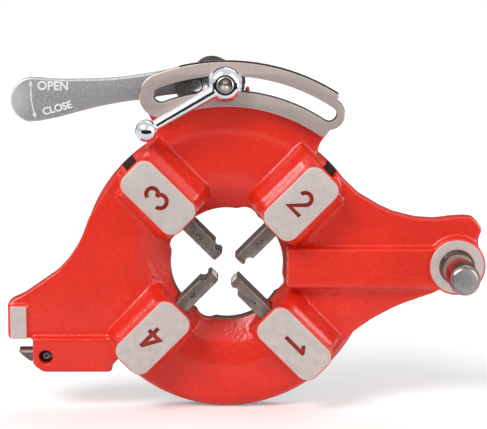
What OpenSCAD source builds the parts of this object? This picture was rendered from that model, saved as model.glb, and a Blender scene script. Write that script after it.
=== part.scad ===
// Quick-opening die head of a pipe threading machine.
// Origin on the pipe axis in the plane of the back face, +Z up, the head faces -Y.
// Every sub-part is drawn as seen from the front (x right, y up, height forward
// from the back face) and facing() then stands it up.

/* [Head casting] */
// Radius of the bore that the pipe passes through
bore_r = 40; // [38:0.5:42]
// Outer radius of the ring
ring_r = 103; // [102:0.5:105]
// Height of the four machined pads above the back face
pad_front = 46; // [45:0.5:48]
// Length of a pad along its radius
pad_length = 54; // [50:1:56]
// Width of a pad
pad_width = 28; // [26:1:30]
// Height of the web of the two arms above the back face
arm_front = 24.5; // [24:0.5:27]
// Radius of the boss that carries the post
post_boss_r = 20.5; // [20:0.5:22]

/* [Dies] */
// Distance of the die tips from the pipe axis when closed
tip_r = 9.4; // [9.4:0.1:13]
// Width of a die
die_width = 9.5; // [9:0.1:10]
// Length of a die
die_length = 72.6; // [68:0.2:74]
// Depth of a die along the pipe axis
die_depth = 27; // [26:0.1:27]

/* [Cam plate] */
// Thickness of the cam plate
cam_thickness = 6.7; // [6.3:0.1:6.7]
// Outward travel of a die for each degree that the cam plate turns
cam_lead = 0.45; // [0.4:0.01:0.5]
// Radius of the lug on the back of a die
lug_r = 4; // [3.5:0.1:4.2]

/* [Size bar] */
// Radius of the middle of the slot in the size bar
slot_r = 130.2; // [130:0.1:131]
// Width of the slot
slot_width = 10.1; // [9.9:0.1:10.4]
// Thickness of the size bar
bar_thickness = 8; // [7:0.5:8.5]

/* [Throwout lever] */
// Distance from the lever's pivot to its crank pin
crank_length = 16; // [15.5:0.1:16.5]
// Angle that the lever swings through from closed to open
lever_throw = 62; // [58:1:62]
// Thickness of the throwout lever
lever_thickness = 6.4; // [6:0.1:6.5]

/* [Clamp lever] */
// Length from the stud to the middle of the ball
clamp_length = 63; // [58:1:64]
// Radius of the ball
ball_r = 7.9; // [7.5:0.1:8.4]

/* [Post and latch] */
// Radius of the post
post_r = 10.5; // [10:0.1:11]
// Length of the post in front of its boss
post_length = 54; // [50:1:58]
// Radius of the latch plunger
latch_r = 5.3; // [5.2:0.1:5.4]
// Travel of the latch plunger
latch_travel = 7.5; // [6:0.5:7.5]

/* [Hidden] */
$fn = 96;

fit = 0.05;             // radial running clearance of a shaft in its hole
blend = 0.02;           // keeps round ends from meeting their flanks in a tangent
gap = 0.3;              // room between faces that move past each other

ring_plate = 3;         // retaining ring, from the back face
cam_back = ring_plate + gap;
cam_front = cam_back + cam_thickness;
cast_back = cam_front + gap;
hub_r = 50.25;          // spigot of the casting that the cam plate turns on
ring_screw_r = 45.5;    // circle of the screws in the retaining ring
scallop_at = 34;        // scallops in the edge of the bore, one behind each die
scallop_r = 9;
scallop_turn = 23;
cam_r = ring_r - 0.4;
web_back = 12;          // front of the web at the edge of the bore
web_front = 24.2;       // front of the ring outside the dish round the bore

pad_mid_r = 70.2;
pad_step = 1.5;         // machined pad above the painted boss
boss_margin = 1.2;      // painted boss round the pad
pad_corner = 8;
die_angles = [-45, 45, 135, 225];
die_shift = -3.05;      // dies and their pads lie to one side of their radius
slot_side = 0.15;       // side clearance of a die in its slot
die_back = cast_back;
die_front = die_back + die_depth;
lug_mid_r = 70;
cam_slot_w = 2 * (lug_r + gap);

flange_r = 122.8;       // top sector that carries the size bar
flange_front = 22.7;
flange_right = 53;
flange_left = 117;
bar_back = 23;
bar_front = bar_back + bar_thickness;
bar_in_r = 113.8;
bar_out_r = 145.3;
slot_left = 110.4;      // angles of the slot's end centres
slot_right = 56.6;
bar_round = (bar_out_r - bar_in_r) / 2;
bar_screw_r = 117.6;
bar_screw_angles = [58, 76, 111];

pivot = [-10.2, 134.5];
pivot_r = 4.5;
crank_r = 4;
lever_back = cast_back + 0.3;
lever_front = lever_back + lever_thickness;
link_back = lever_front + 0.4;
link_front = flange_front;
link_r = 14;
toward_axis = atan2(-pivot[1], -pivot[0]);
crank = pivot + polar(crank_length, toward_axis + lever_throw / 2);
pocket_r = crank_length + 8.5;
lever_end = [-136, 117.5];
lever_end_r = 16;

// Angle that the cam plate turns through for the whole throw of the lever
cam_throw = 2 * atan(crank_length * sin(lever_throw / 2)
    / (norm(pivot) - crank_length * cos(lever_throw / 2)));
ear_right = 84.5;
ear_left = 104.5;
ear_r = 130.5;
stop_r = 3;
stop_mid_r = 112;
stop_step = asin((stop_r + 0.4) / stop_mid_r);

stud = polar(slot_r, 90.3);
stud_neck_r = 4.9;
stud_r = 6.1;
guide = polar(slot_r, 99.3);
guide_r = 4.2;
washer_front = bar_front + 2;
hub_front = 46;
hub_head_r = 11.9;
clamp_angle = 210.3;
ball_front = 43;

post_at = [162.4, 0.5];
post_back = 4;
post_face = 31;
post_chamfer = 2.5;
post_shank_r = 9.5;
collar_r = 12.2;
rib_start = 43;         // box rib from the edge of the bore to the post's boss
rib_top = 13.5;
rib_bottom = -15;

tip_left = -155.8;
tip_bottom = -52.1;
notch_wall = -137.9;
block_front = 30;
block_back = 6;
block_bottom = -75.8;
latch_z = -64.7;
latch_f = 18;
latch_tip = -148.2;
latch_end = -116;
latch_bore_end = -96.5;
latch_pin_x = -128.6;
latch_pin_r = 2.25;
spring_wire_r = 0.7;
spring_mid_r = 3.6;
spring_turns = 6;

function polar(r, a) = [r * cos(a), r * sin(a)];
function arc(mid, r, from, to, steps) =
    [for (i = [0:steps]) mid + polar(r, from + (to - from) * i / steps)];

// Stands a part drawn in the front view up in the head's own frame
module facing() {
    rotate([90, 0, 0]) children();
}

// Plate with the outline of its children, between two heights above the back face
module slab(from, to) {
    translate([0, 0, from]) linear_extrude(to - from) children();
}

module disc(at, r, from, to) {
    translate([at[0], at[1], from]) cylinder(h = to - from, r = r);
}

module sector(r, from, to) {
    polygon(concat([[0, 0]], arc([0, 0], r, from, to, 8)));
}

// Flat ring between two radii, cut to the angles from and to
module band(r_in, r_out, from, to) {
    intersection() {
        difference() {
            circle(r_out);
            circle(r_in);
        }
        sector(1.2 * r_out, from, to);
    }
}

// Round-ended strip that follows a circle
module round_band(r, width, from, to) {
    band(r - width / 2, r + width / 2, from, to);
    for (a = [from, to]) translate(polar(r, a)) circle(width / 2 - blend);
}

module rounded(size, corner) {
    for (x = [-1, 1], y = [-1, 1])
        translate([x * (size[0] / 2 - corner), y * (size[1] / 2 - corner)]) circle(corner - blend);
    square([size[0] - 2 * corner, size[1]], center = true);
    square([size[0], size[1] - 2 * corner], center = true);
}

// Round-ended strip between two points
module strip(a, b, r) {
    along = b - a;
    for (p = [a, b]) translate(p) circle(r);
    translate(a) rotate(atan2(along[1], along[0]))
        translate([0, blend - r]) square([norm(along), 2 * (r - blend)]);
}

// Cap screw with its head at the back, reaching forward
module cap_screw(at, head_r, head_h, shank_r, from, to) {
    difference() {
        union() {
            disc(at, head_r, from, from + head_h);
            disc(at, shank_r, from, to);
        }
        translate([at[0], at[1], from - 1]) cylinder(h = head_h * 0.6 + 1, r = head_r * 0.52, $fn = 6);
    }
}

module ring_body() {
    rotate_extrude() polygon([
        [bore_r - 1, ring_plate], [hub_r, ring_plate], [hub_r, cast_back], [ring_r, cast_back],
        [ring_r, 16], [ring_r - 1.5, 20], [ring_r - 5, 22.8], [ring_r - 10, web_front - 0.2],
        [72, web_front], [64, 23.2], [56, 20.8], [48, 16.8], [bore_r - 1, web_back]]);
}

module die_boss() {
    slab(cast_back, pad_front - pad_step) translate([pad_mid_r, die_shift])
        rounded([pad_length + 2 * boss_margin, pad_width + 2 * boss_margin], pad_corner + boss_margin);
    slab(pad_front - pad_step, pad_front) translate([pad_mid_r, die_shift])
        rounded([pad_length, pad_width], pad_corner);
}

module die_slot() {
    translate([bore_r - 8, die_shift - die_width / 2 - slot_side, cast_back - 0.5])
        cube([ring_r - bore_r + 14, die_width + 2 * slot_side, die_depth + 0.9]);
}

module top_sector() {
    slab(cast_back, flange_front) {
        band(95, flange_r, flange_right, flange_left);
        polygon([[64, 78], [64.5, 84], [67, 90], [74, 98], [50, 105], [48, 85]]);
        polygon([[-70, 74], [-58, 84], [-53, 92], [-51, 100], [-55.7, 109.4], [-30, 105], [-40, 85]]);
    }
    slab(link_back, flange_front) translate([13.1, 115]) square([3.2, 12.5]);
}

module right_arm() {
    slab(cast_back, arm_front) polygon([
        [80, 15], [60, 80], [73, 72], [84.5, 59.6], [93.7, 51.1], [107.9, 42.6], [117.2, 38.3], [132, 34.5],
        [146, 33.2], [157, 34.6], [168, 35.5], [174, 34.5], [178, 30.5], [180.6, 25.8], [178, 20],
        [178, 0], [147, -19.5], [129.2, -25.6], [118.6, -29.8], [103, -38.3], [90.9, -46.9],
        [82.4, -55.4], [76, -64], [60, -80], [80, -15]]);
    slab(cast_back + 4, post_face) polygon([
        [rib_start, rib_top], [150, rib_top], [150, rib_bottom], [rib_start, rib_bottom]]);
    disc(post_at, post_boss_r, post_back, post_face - 0.8);
    disc(post_at, post_boss_r - 1.5, post_face - 1, post_face);
}

module left_arm() {
    slab(cast_back, arm_front) polygon([
        [-75, 70], [-97.5, 34], [-102, 22], [-106.2, 13.5], [-111.9, 5], [-119.6, -3.5],
        [-131.7, -12], [-144, -20.5], [-153.5, -24.8], [tip_left, -27.4], [tip_left, tip_bottom],
        [notch_wall - 2, tip_bottom], [notch_wall - 0.6, tip_bottom - 0.6],
        [notch_wall, tip_bottom - 2], [notch_wall, -60], [-70, -60]]);
    slab(block_back, block_front) polygon([
        [notch_wall, -51], [notch_wall, -69.8], [-130.7, block_bottom], [-83, block_bottom],
        [-76, -68.5], [-66, -62], [-66, -51]]);
    slab(arm_front - 1, 28) translate([-147.7, -40.2]) square([11.6, 23.8], center = true);
}

module spring_channel() {
    translate([notch_wall - 5, latch_z, latch_f]) rotate([0, 90, 0])
        cylinder(h = latch_bore_end - notch_wall + 5, r = latch_r + fit);
}

module head_casting() {
    color("firebrick") facing() difference() {
        union() {
            ring_body();
            for (a = die_angles) rotate(a) die_boss();
            top_sector();
            right_arm();
            left_arm();
        }
        disc([0, 0], bore_r, -1, pad_front + 1);
        for (a = die_angles) {
            rotate(a) die_slot();
            disc(polar(scallop_at, a + scallop_turn), scallop_r, -1, pad_front + 1);
        }
        difference() {
            disc([0, 0], ring_r + 0.4, -1, cast_back);
            disc([0, 0], hub_r, -2, cast_back + 1);
        }
        disc(pivot, pocket_r, cast_back - 1, link_back);
        for (a = bar_screw_angles) {
            disc(polar(bar_screw_r, a), 4.2, cast_back - 1, cast_back + 5.7);
            disc(polar(bar_screw_r, a), 2.7, cast_back, flange_front + 1);
        }
        for (a = [ear_right - stop_step, ear_left + cam_throw + stop_step])
            disc(polar(stop_mid_r, a), stop_r, cast_back - 1, cast_back + 8);
        for (a = [0:90:270]) disc(polar(ring_screw_r, a), 1.5, ring_plate - 1, ring_plate + 4.5);
        disc(post_at, post_shank_r, post_back - 1, post_face + 1);
        disc(post_at, collar_r + 0.4, post_face - 1, post_face + 1);
        translate([post_at[0], post_at[1] - 24, 16]) rotate([-90, 0, 0]) cylinder(h = 20, r = 2.5);
        spring_channel();
        disc([latch_pin_x, latch_z], 4.9, latch_f, block_front + 1);
        disc([latch_pin_x, latch_z], latch_pin_r, block_back - 1, block_front);
    }
}

module retaining_ring() {
    color("dimgray") facing() difference() {
        disc([0, 0], 60, 0, ring_plate);
        disc([0, 0], bore_r + 0.5, -1, ring_plate + 1);
        for (a = die_angles) disc(polar(scallop_at, a + scallop_turn), scallop_r + gap, -1, ring_plate + 1);
        for (a = [0:90:270]) {
            disc(polar(ring_screw_r, a), 1.6, -1, ring_plate + 1);
            translate(concat(polar(ring_screw_r, a), [-0.01])) cylinder(h = 1.6, r1 = 3.3, r2 = 1.6);
        }
    }
}

module ring_screws() {
    color("gray") facing() for (a = [0:90:270]) difference() {
        union() {
            disc(polar(ring_screw_r, a), 1.5, 0.2, ring_plate + 4.3);
            translate(concat(polar(ring_screw_r, a), [0.1])) cylinder(h = 1.5, r1 = 3.1, r2 = 1.5);
        }
        translate(concat(polar(ring_screw_r, a), [-1])) cylinder(h = 2, r = 1, $fn = 6);
    }
}

// Slot that follows the cam's lead, drawn for a lug at the given place
module cam_slot(lug) {
    mid = norm(lug);
    start = atan2(lug[1], lug[0]);
    before = -18;
    after = 12;
    steps = 20;
    turn = [for (i = [0:steps]) before + (after - before) * i / steps];
    inner = [for (t = turn) polar(mid - cam_lead * t - cam_slot_w / 2, start + t)];
    outer = [for (i = [steps:-1:0]) polar(mid - cam_lead * turn[i] + cam_slot_w / 2, start + turn[i])];
    polygon(concat(inner, outer));
    for (t = [before, after])
        translate(polar(mid - cam_lead * t, start + t)) circle(cam_slot_w / 2 - blend);
}

module cam_plate() {
    crank_a = atan2(crank[1], crank[0]);
    color("dimgray") facing() difference() {
        slab(cam_back, cam_front) {
            circle(cam_r);
            band(cam_r - 5, ear_r, ear_right, ear_left);
        }
        disc([0, 0], hub_r + fit, 0, cam_front + 1);
        slab(0, cam_front + 1) {
            for (a = die_angles) rotate(a) cam_slot([lug_mid_r, die_shift]);
            strip(polar(114.5, crank_a), polar(124.5, crank_a), crank_r + 0.35);
        }
    }
}

module cam_stop_pins() {
    color("silver") facing()
        for (a = [ear_right - stop_step, ear_left + cam_throw + stop_step])
            disc(polar(stop_mid_r, a), stop_r, cam_back + 0.4, cast_back + 8);
}

// Die that slides along its radius, with the chip scoop on its clockwise side
module die(angle) {
    low = die_shift - die_width / 2;
    high = die_shift + die_width / 2;
    color("gray") facing() rotate(angle) {
        difference() {
            slab(die_back, die_front) polygon([
                [tip_r + 0.6, high], [tip_r, low + 2.6], [tip_r + 0.4, low + 1.8],
                [tip_r + 6, low + 1.8], [tip_r + 9, low], [tip_r + die_length, low],
                [tip_r + die_length, high]]);
            translate([tip_r + 5.8, low, die_back - 1]) cylinder(h = die_depth + 2, r = 3.1);
            translate([tip_r, low - 1, die_back]) rotate([0, 28, 0])
                translate([-8, 0, -12]) cube([8, die_width + 2, 16]);
        }
        disc([lug_mid_r, die_shift], lug_r, cam_back + 0.4, die_back + 1);
    }
}

module die_1() { die(die_angles[0]); }
module die_2() { die(die_angles[1]); }
module die_3() { die(die_angles[2]); }
module die_4() { die(die_angles[3]); }

module size_bar() {
    right_end = polar(slot_r, slot_right);
    color("rosybrown") facing() difference() {
        union() {
            slab(bar_back, bar_front) band(bar_in_r, bar_out_r, slot_right, slot_left);
            disc(polar(slot_r, slot_left), bar_round - blend, bar_back, bar_front);
            disc(right_end, 11.2, bar_back, bar_front);
            slab(bar_back, bar_front) polygon([polar(bar_in_r + 0.1, 59), polar(115.5, 53.4),
                polar(119, 53.3), polar(121.5, 54.2), polar(slot_r, 55), polar(slot_r, 59)]);
        }
        slab(bar_back - 1, bar_front + 1) round_band(slot_r, slot_width, slot_right, slot_left);
        for (a = bar_screw_angles) disc(polar(bar_screw_r, a), 2.5, bar_back - 1, bar_back + 5.5);
    }
}

module bar_screws() {
    color("dimgray") facing() for (a = bar_screw_angles)
        cap_screw(polar(bar_screw_r, a), 3.9, 5, 2.5, cast_back + 0.6, bar_back + 5);
}

module index_link() {
    color("dimgray") facing() difference() {
        slab(link_back, link_front) {
            difference() {
                union() {
                    strip(stud, pivot, link_r);
                    band(slot_r - 6.5, slot_r + 8, 90, 105.8);
                }
                circle(flange_r + 0.4);
                translate([12.7, 115]) square([10, 14]);
            }
        }
        disc(pivot, pivot_r, link_back - 1, link_front + 1);
        disc(stud, stud_neck_r, link_back - 1, link_front + 1);
        disc(guide, guide_r - 1, link_back - 1, link_front + 1);
    }
}

module guide_pin() {
    color("silver") facing() {
        disc(guide, guide_r - 1, link_back, link_front);
        disc(guide, guide_r, link_front, bar_front - 2.5);
    }
}

module clamp_stud() {
    color("silver") facing() {
        disc(stud, stud_neck_r, link_back, bar_front);
        disc(stud, stud_r, bar_front, hub_front - 0.4);
        translate([stud[0], stud[1], hub_front - 0.4])
            cylinder(h = 0.8, r1 = stud_r, r2 = stud_r - 0.8);
    }
}

// Washer under the lever with a tongue that drops into the slot
module clamp_washer() {
    color("silver") facing() {
        difference() {
            disc(stud, hub_head_r - 0.4, bar_front + 0.05, washer_front);
            disc(stud, stud_r, bar_front - 1, washer_front + 1);
        }
        slab(bar_front - 6, bar_front + 0.5) band(slot_r - 4.2, slot_r + 4.2, 94.3, 95.4);
        slab(bar_front - 6, bar_front - 1.5) band(slot_r - 4.2, slot_r + 4.2, 94.3, 97.3);
    }
}

module clamp_lever() {
    ball = stud + polar(clamp_length, clamp_angle);
    arm_from = stud + polar(hub_head_r - 3, clamp_angle);
    arm_run = clamp_length - hub_head_r;
    rise = atan2(ball_front - 40, arm_run);
    color("gainsboro") facing() difference() {
        union() {
            translate([stud[0], stud[1], washer_front + 0.2]) rotate_extrude() polygon([
                [0, 0], [hub_head_r - 0.8, 0], [hub_head_r, 0.8], [hub_head_r, 6.5],
                [hub_head_r - 1, 9.2], [hub_head_r - 3, 11.4], [hub_head_r - 5, 12.4], [0, 12.6]]);
            translate([arm_from[0], arm_from[1], 40]) rotate([0, 0, clamp_angle])
                rotate([0, 90 - rise, 0]) cylinder(h = arm_run, r1 = 4.6, r2 = 3.5);
            translate([ball[0], ball[1], ball_front]) sphere(ball_r);
        }
        disc(stud, stud_r + fit, washer_front - 1, hub_front + 3);
    }
}

module throwout_lever() {
    color("darkgray") facing() difference() {
        union() {
            disc(lever_end, lever_end_r, lever_back, lever_front);
            disc(pivot, link_r - 0.8, lever_back, lever_front);
            slab(lever_back, lever_front) strip(pivot, crank, 7.4);
            slab(lever_back, lever_front) polygon([
                [-133.5, 133], [-117, 131.9], [-92, 132.4], [-75, 133.3], [-58, 135.6],
                [-40, 138.8], [-22, 143.2], [-12, 144], [-12, 124], [-30, 121.6],
                [-43.8, 120.3], [-58.2, 117.7], [-75, 115.4], [-92, 112], [-109, 107.6],
                [-119, 104.9], [-132, 102.2]]);
        }
        disc(pivot, 6.3, lever_back - 1, lever_front + 1);
        disc(pivot, 7.2, lever_back - 1, lever_back + 1.8);
        disc(crank, crank_r, lever_back - 1, lever_front - 1);
    }
}

module lever_bush() {
    color("peru") facing() difference() {
        disc(pivot, 6.3, lever_back + 1.8, lever_front);
        disc(pivot, pivot_r + fit, lever_back, lever_front + 1);
    }
}

module pivot_pin() {
    color("silver") facing() difference() {
        union() {
            disc(pivot, 6.8, lever_back, lever_back + 1.4);
            disc(pivot, pivot_r, lever_back, link_front);
        }
        translate([pivot[0], pivot[1], lever_back - 1]) cylinder(h = 2, r = 2.5, $fn = 6);
    }
}

module crank_pin() {
    color("silver") facing() disc(crank, crank_r, cam_back + 0.3, lever_front - 1);
}

module post() {
    color("silver") facing() difference() {
        union() {
            disc(post_at, post_shank_r, post_back + 0.4, post_face - 0.8);
            disc(post_at, collar_r, post_face - 0.9, post_face);
            disc(post_at, post_r, post_face, post_face + post_length - post_chamfer);
            translate([post_at[0], post_at[1], post_face + post_length - post_chamfer])
                cylinder(h = post_chamfer, r1 = post_r, r2 = post_r - post_chamfer);
        }
        translate([post_at[0], post_at[1] - 24, 16]) rotate([-90, 0, 0]) cylinder(h = 20, r = 2.5);
    }
}

module post_pin() {
    color("gray") facing() translate([post_at[0], post_at[1] - 20, 16])
        rotate([-90, 0, 0]) cylinder(h = 15.6, r = 2.5);
}

module latch_plunger() {
    low = latch_z - latch_r;
    color("gray") facing() difference() {
        translate([latch_tip, latch_z, latch_f]) rotate([0, 90, 0])
            cylinder(h = latch_end - latch_tip, r = latch_r);
        slab(0, block_front) polygon([
            [latch_tip - 2, low - 2], [latch_tip - 2, latch_z + latch_r + 2],
            [latch_tip + 0.7, latch_z + latch_r + 1], [latch_tip, latch_z + 2.4],
            [latch_tip + 9, low], [latch_tip + 9, low - 2]]);
        slab(0, block_front) strip([latch_pin_x - latch_travel, latch_z], [latch_pin_x, latch_z],
            latch_pin_r + 0.15);
    }
}

// Ring of points square to the coil at a given turn angle
function coil_ring(t, pitch, sides) = [for (k = [0:sides - 1])
    let (w = 360 * k / sides, r = spring_mid_r + spring_wire_r * cos(w))
    [r * cos(t), r * sin(t), pitch * t / 360 + spring_wire_r * sin(w)]];

module latch_spring() {
    sides = 8;
    per_turn = 16;
    room = latch_bore_end - latch_end - 2 * spring_wire_r - 0.4;
    steps = spring_turns * per_turn;
    points = [for (i = [0:steps]) each coil_ring(360 * i / per_turn, room / spring_turns, sides)];
    sides_faces = [for (i = [0:steps - 1], k = [0:sides - 1])
        let (n = (k + 1) % sides)
        [i * sides + k, (i + 1) * sides + k, (i + 1) * sides + n, i * sides + n]];
    caps = [[for (k = [0:sides - 1]) k], [for (k = [sides - 1:-1:0]) steps * sides + k]];
    color("silver") facing()
        translate([latch_end + spring_wire_r + 0.2, latch_z, latch_f]) rotate([0, 90, 0])
            polyhedron(points, concat(sides_faces, caps));
}

module latch_pin() {
    color("silver") facing() difference() {
        disc([latch_pin_x, latch_z], latch_pin_r, block_back + 0.5, latch_f + latch_r + 1.2);
        disc([latch_pin_x, latch_z], 1, block_back - 1, block_front);
    }
}

head_casting();
retaining_ring();
ring_screws();
cam_plate();
cam_stop_pins();
die_1();
die_2();
die_3();
die_4();
size_bar();
bar_screws();
index_link();
guide_pin();
clamp_stud();
clamp_washer();
clamp_lever();
throwout_lever();
lever_bush();
pivot_pin();
crank_pin();
post();
post_pin();
latch_plunger();
latch_spring();
latch_pin();
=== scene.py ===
"""Looks of the quick-opening die head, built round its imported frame.

Sizes are in millimetres in the head's front view: x to the right, y up, and a height
towards the viewer, measured from the back face. front() turns them into metres.
"""

import logging
import math
from dataclasses import dataclass, field
from enum import Enum
from typing import Callable, Dict, List, Optional, Sequence, Tuple

import bmesh
import bpy
from mathutils import Matrix, Vector


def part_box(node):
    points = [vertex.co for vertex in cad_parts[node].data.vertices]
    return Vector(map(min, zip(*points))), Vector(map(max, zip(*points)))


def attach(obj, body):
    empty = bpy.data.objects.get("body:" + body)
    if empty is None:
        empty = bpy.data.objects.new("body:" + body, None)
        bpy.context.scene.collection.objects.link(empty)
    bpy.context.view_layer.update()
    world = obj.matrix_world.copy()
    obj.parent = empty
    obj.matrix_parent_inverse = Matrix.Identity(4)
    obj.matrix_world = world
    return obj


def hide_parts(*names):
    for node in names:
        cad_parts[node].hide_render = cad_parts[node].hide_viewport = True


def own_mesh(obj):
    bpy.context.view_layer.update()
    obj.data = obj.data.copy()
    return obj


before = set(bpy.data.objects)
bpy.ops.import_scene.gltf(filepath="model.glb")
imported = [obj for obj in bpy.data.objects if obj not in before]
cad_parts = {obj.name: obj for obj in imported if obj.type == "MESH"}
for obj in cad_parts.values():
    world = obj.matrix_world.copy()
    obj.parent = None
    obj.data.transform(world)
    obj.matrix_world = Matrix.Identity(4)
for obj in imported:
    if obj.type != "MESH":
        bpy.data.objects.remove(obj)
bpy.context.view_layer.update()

MM = 0.001
LOG = logging.getLogger("die_head")

Point = Tuple[float, float]
Loop = List[Point]


class Grain(Enum):
    """How a finish is worked."""

    PEEL = "cast surface under enamel"
    GROUND = "ground flat, a fine cloudy matt"
    BRUSHED = "brushed up and down"
    CROSSWISE = "milled across the piece"
    TURNED = "turned round an axis"
    SPANGLE = "plated, with a fine mottle"
    SMOOTH = "polished"


class Body(Enum):
    """Bodies that pieces ride on."""

    HEAD = "head"
    LEVER = "throwout_lever"
    CAM = "cam"
    CLAMP = "clamp_lever"
    LATCH = "latch"


# ---------------------------------------------------------------- finishes


def linear(value: float) -> float:
    """Linear light of one 0 to 255 screen value."""
    c = value / 255
    return c / 12.92 if c <= 0.04045 else ((c + 0.055) / 1.055) ** 2.4


def colour(red: float, green: float, blue: float, gain: float = 1.0) -> Tuple[float, float, float, float]:
    """Linear colour of a screen colour, times a gain."""
    return (linear(red) * gain, linear(green) * gain, linear(blue) * gain, 1.0)


class ShaderGraph:
    """Small helper that adds and joins the nodes of one material."""

    def __init__(self, name: str) -> None:
        """Starts an empty material.

        Args:
            name: the material's name.
        """
        self.material = bpy.data.materials.new(name)
        self.material.use_nodes = True
        self.nodes = self.material.node_tree.nodes
        self.links = self.material.node_tree.links
        self.nodes.clear()
        self.output = self.nodes.new("ShaderNodeOutputMaterial")
        self.place = self.nodes.new("ShaderNodeTexCoord").outputs["Object"]

    def add(self, kind: str, **values: object) -> bpy.types.Node:
        """Adds a node, and sets the attributes given by keyword."""
        node = self.nodes.new(kind)
        for key, value in values.items():
            setattr(node, key, value)
        return node

    def join(self, source: bpy.types.NodeSocket, target: bpy.types.NodeSocket) -> None:
        """Links two sockets."""
        self.links.new(source, target)

    def stretched(self, scale: Sequence[float], turn: float = 0.0) -> bpy.types.NodeSocket:
        """Object coordinates turned about Y by some degrees, then stretched along each axis."""
        source = self.place
        for key, value in (("Rotation", (0, math.radians(turn), 0)), ("Scale", scale)):
            mapping = self.add("ShaderNodeMapping")
            mapping.inputs[key].default_value = value
            self.join(source, mapping.inputs["Vector"])
            source = mapping.outputs["Vector"]
        return source

    def noise(self, scale: float, detail: float = 3.0,
              place: Optional[bpy.types.NodeSocket] = None) -> bpy.types.NodeSocket:
        """Noise value at a place.

        Args:
            scale: cells to the metre.
            detail: octaves.
            place: coordinates, or the object's own.

        Returns:
            The noise factor.
        """
        node = self.add("ShaderNodeTexNoise")
        node.inputs["Scale"].default_value = scale
        node.inputs["Detail"].default_value = detail
        self.join(place or self.place, node.inputs["Vector"])
        return node.outputs["Fac"]

    def spread(self, value: bpy.types.NodeSocket, low: float, high: float,
               start: float = 0.3, end: float = 0.7) -> bpy.types.NodeSocket:
        """Maps a value from start..end to low..high."""
        node = self.add("ShaderNodeMapRange")
        node.inputs["From Min"].default_value = start
        node.inputs["From Max"].default_value = end
        node.inputs["To Min"].default_value = low
        node.inputs["To Max"].default_value = high
        self.join(value, node.inputs["Value"])
        return node.outputs["Result"]

    def blend(self, factor: bpy.types.NodeSocket, first: object, second: object) -> bpy.types.NodeSocket:
        """Mixes two colours or colour sockets by a factor."""
        node = self.add("ShaderNodeMix", data_type="RGBA")
        self.join(factor, node.inputs[0])
        for index, value in ((6, first), (7, second)):
            if isinstance(value, bpy.types.NodeSocket):
                self.join(value, node.inputs[index])
            else:
                node.inputs[index].default_value = value
        return node.outputs[2]

    def bump(self, height: bpy.types.NodeSocket, strength: float, depth: float,
             under: Optional[bpy.types.NodeSocket] = None) -> bpy.types.NodeSocket:
        """Bump from a height value.

        Args:
            height: the height.
            strength: share of the effect.
            depth: distance in metres for a height of 1.
            under: another bump that this one lies on.

        Returns:
            The normal.
        """
        node = self.add("ShaderNodeBump")
        node.inputs["Strength"].default_value = strength
        node.inputs["Distance"].default_value = depth
        self.join(height, node.inputs["Height"])
        if under is not None:
            self.join(under, node.inputs["Normal"])
        return node.outputs["Normal"]


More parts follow.
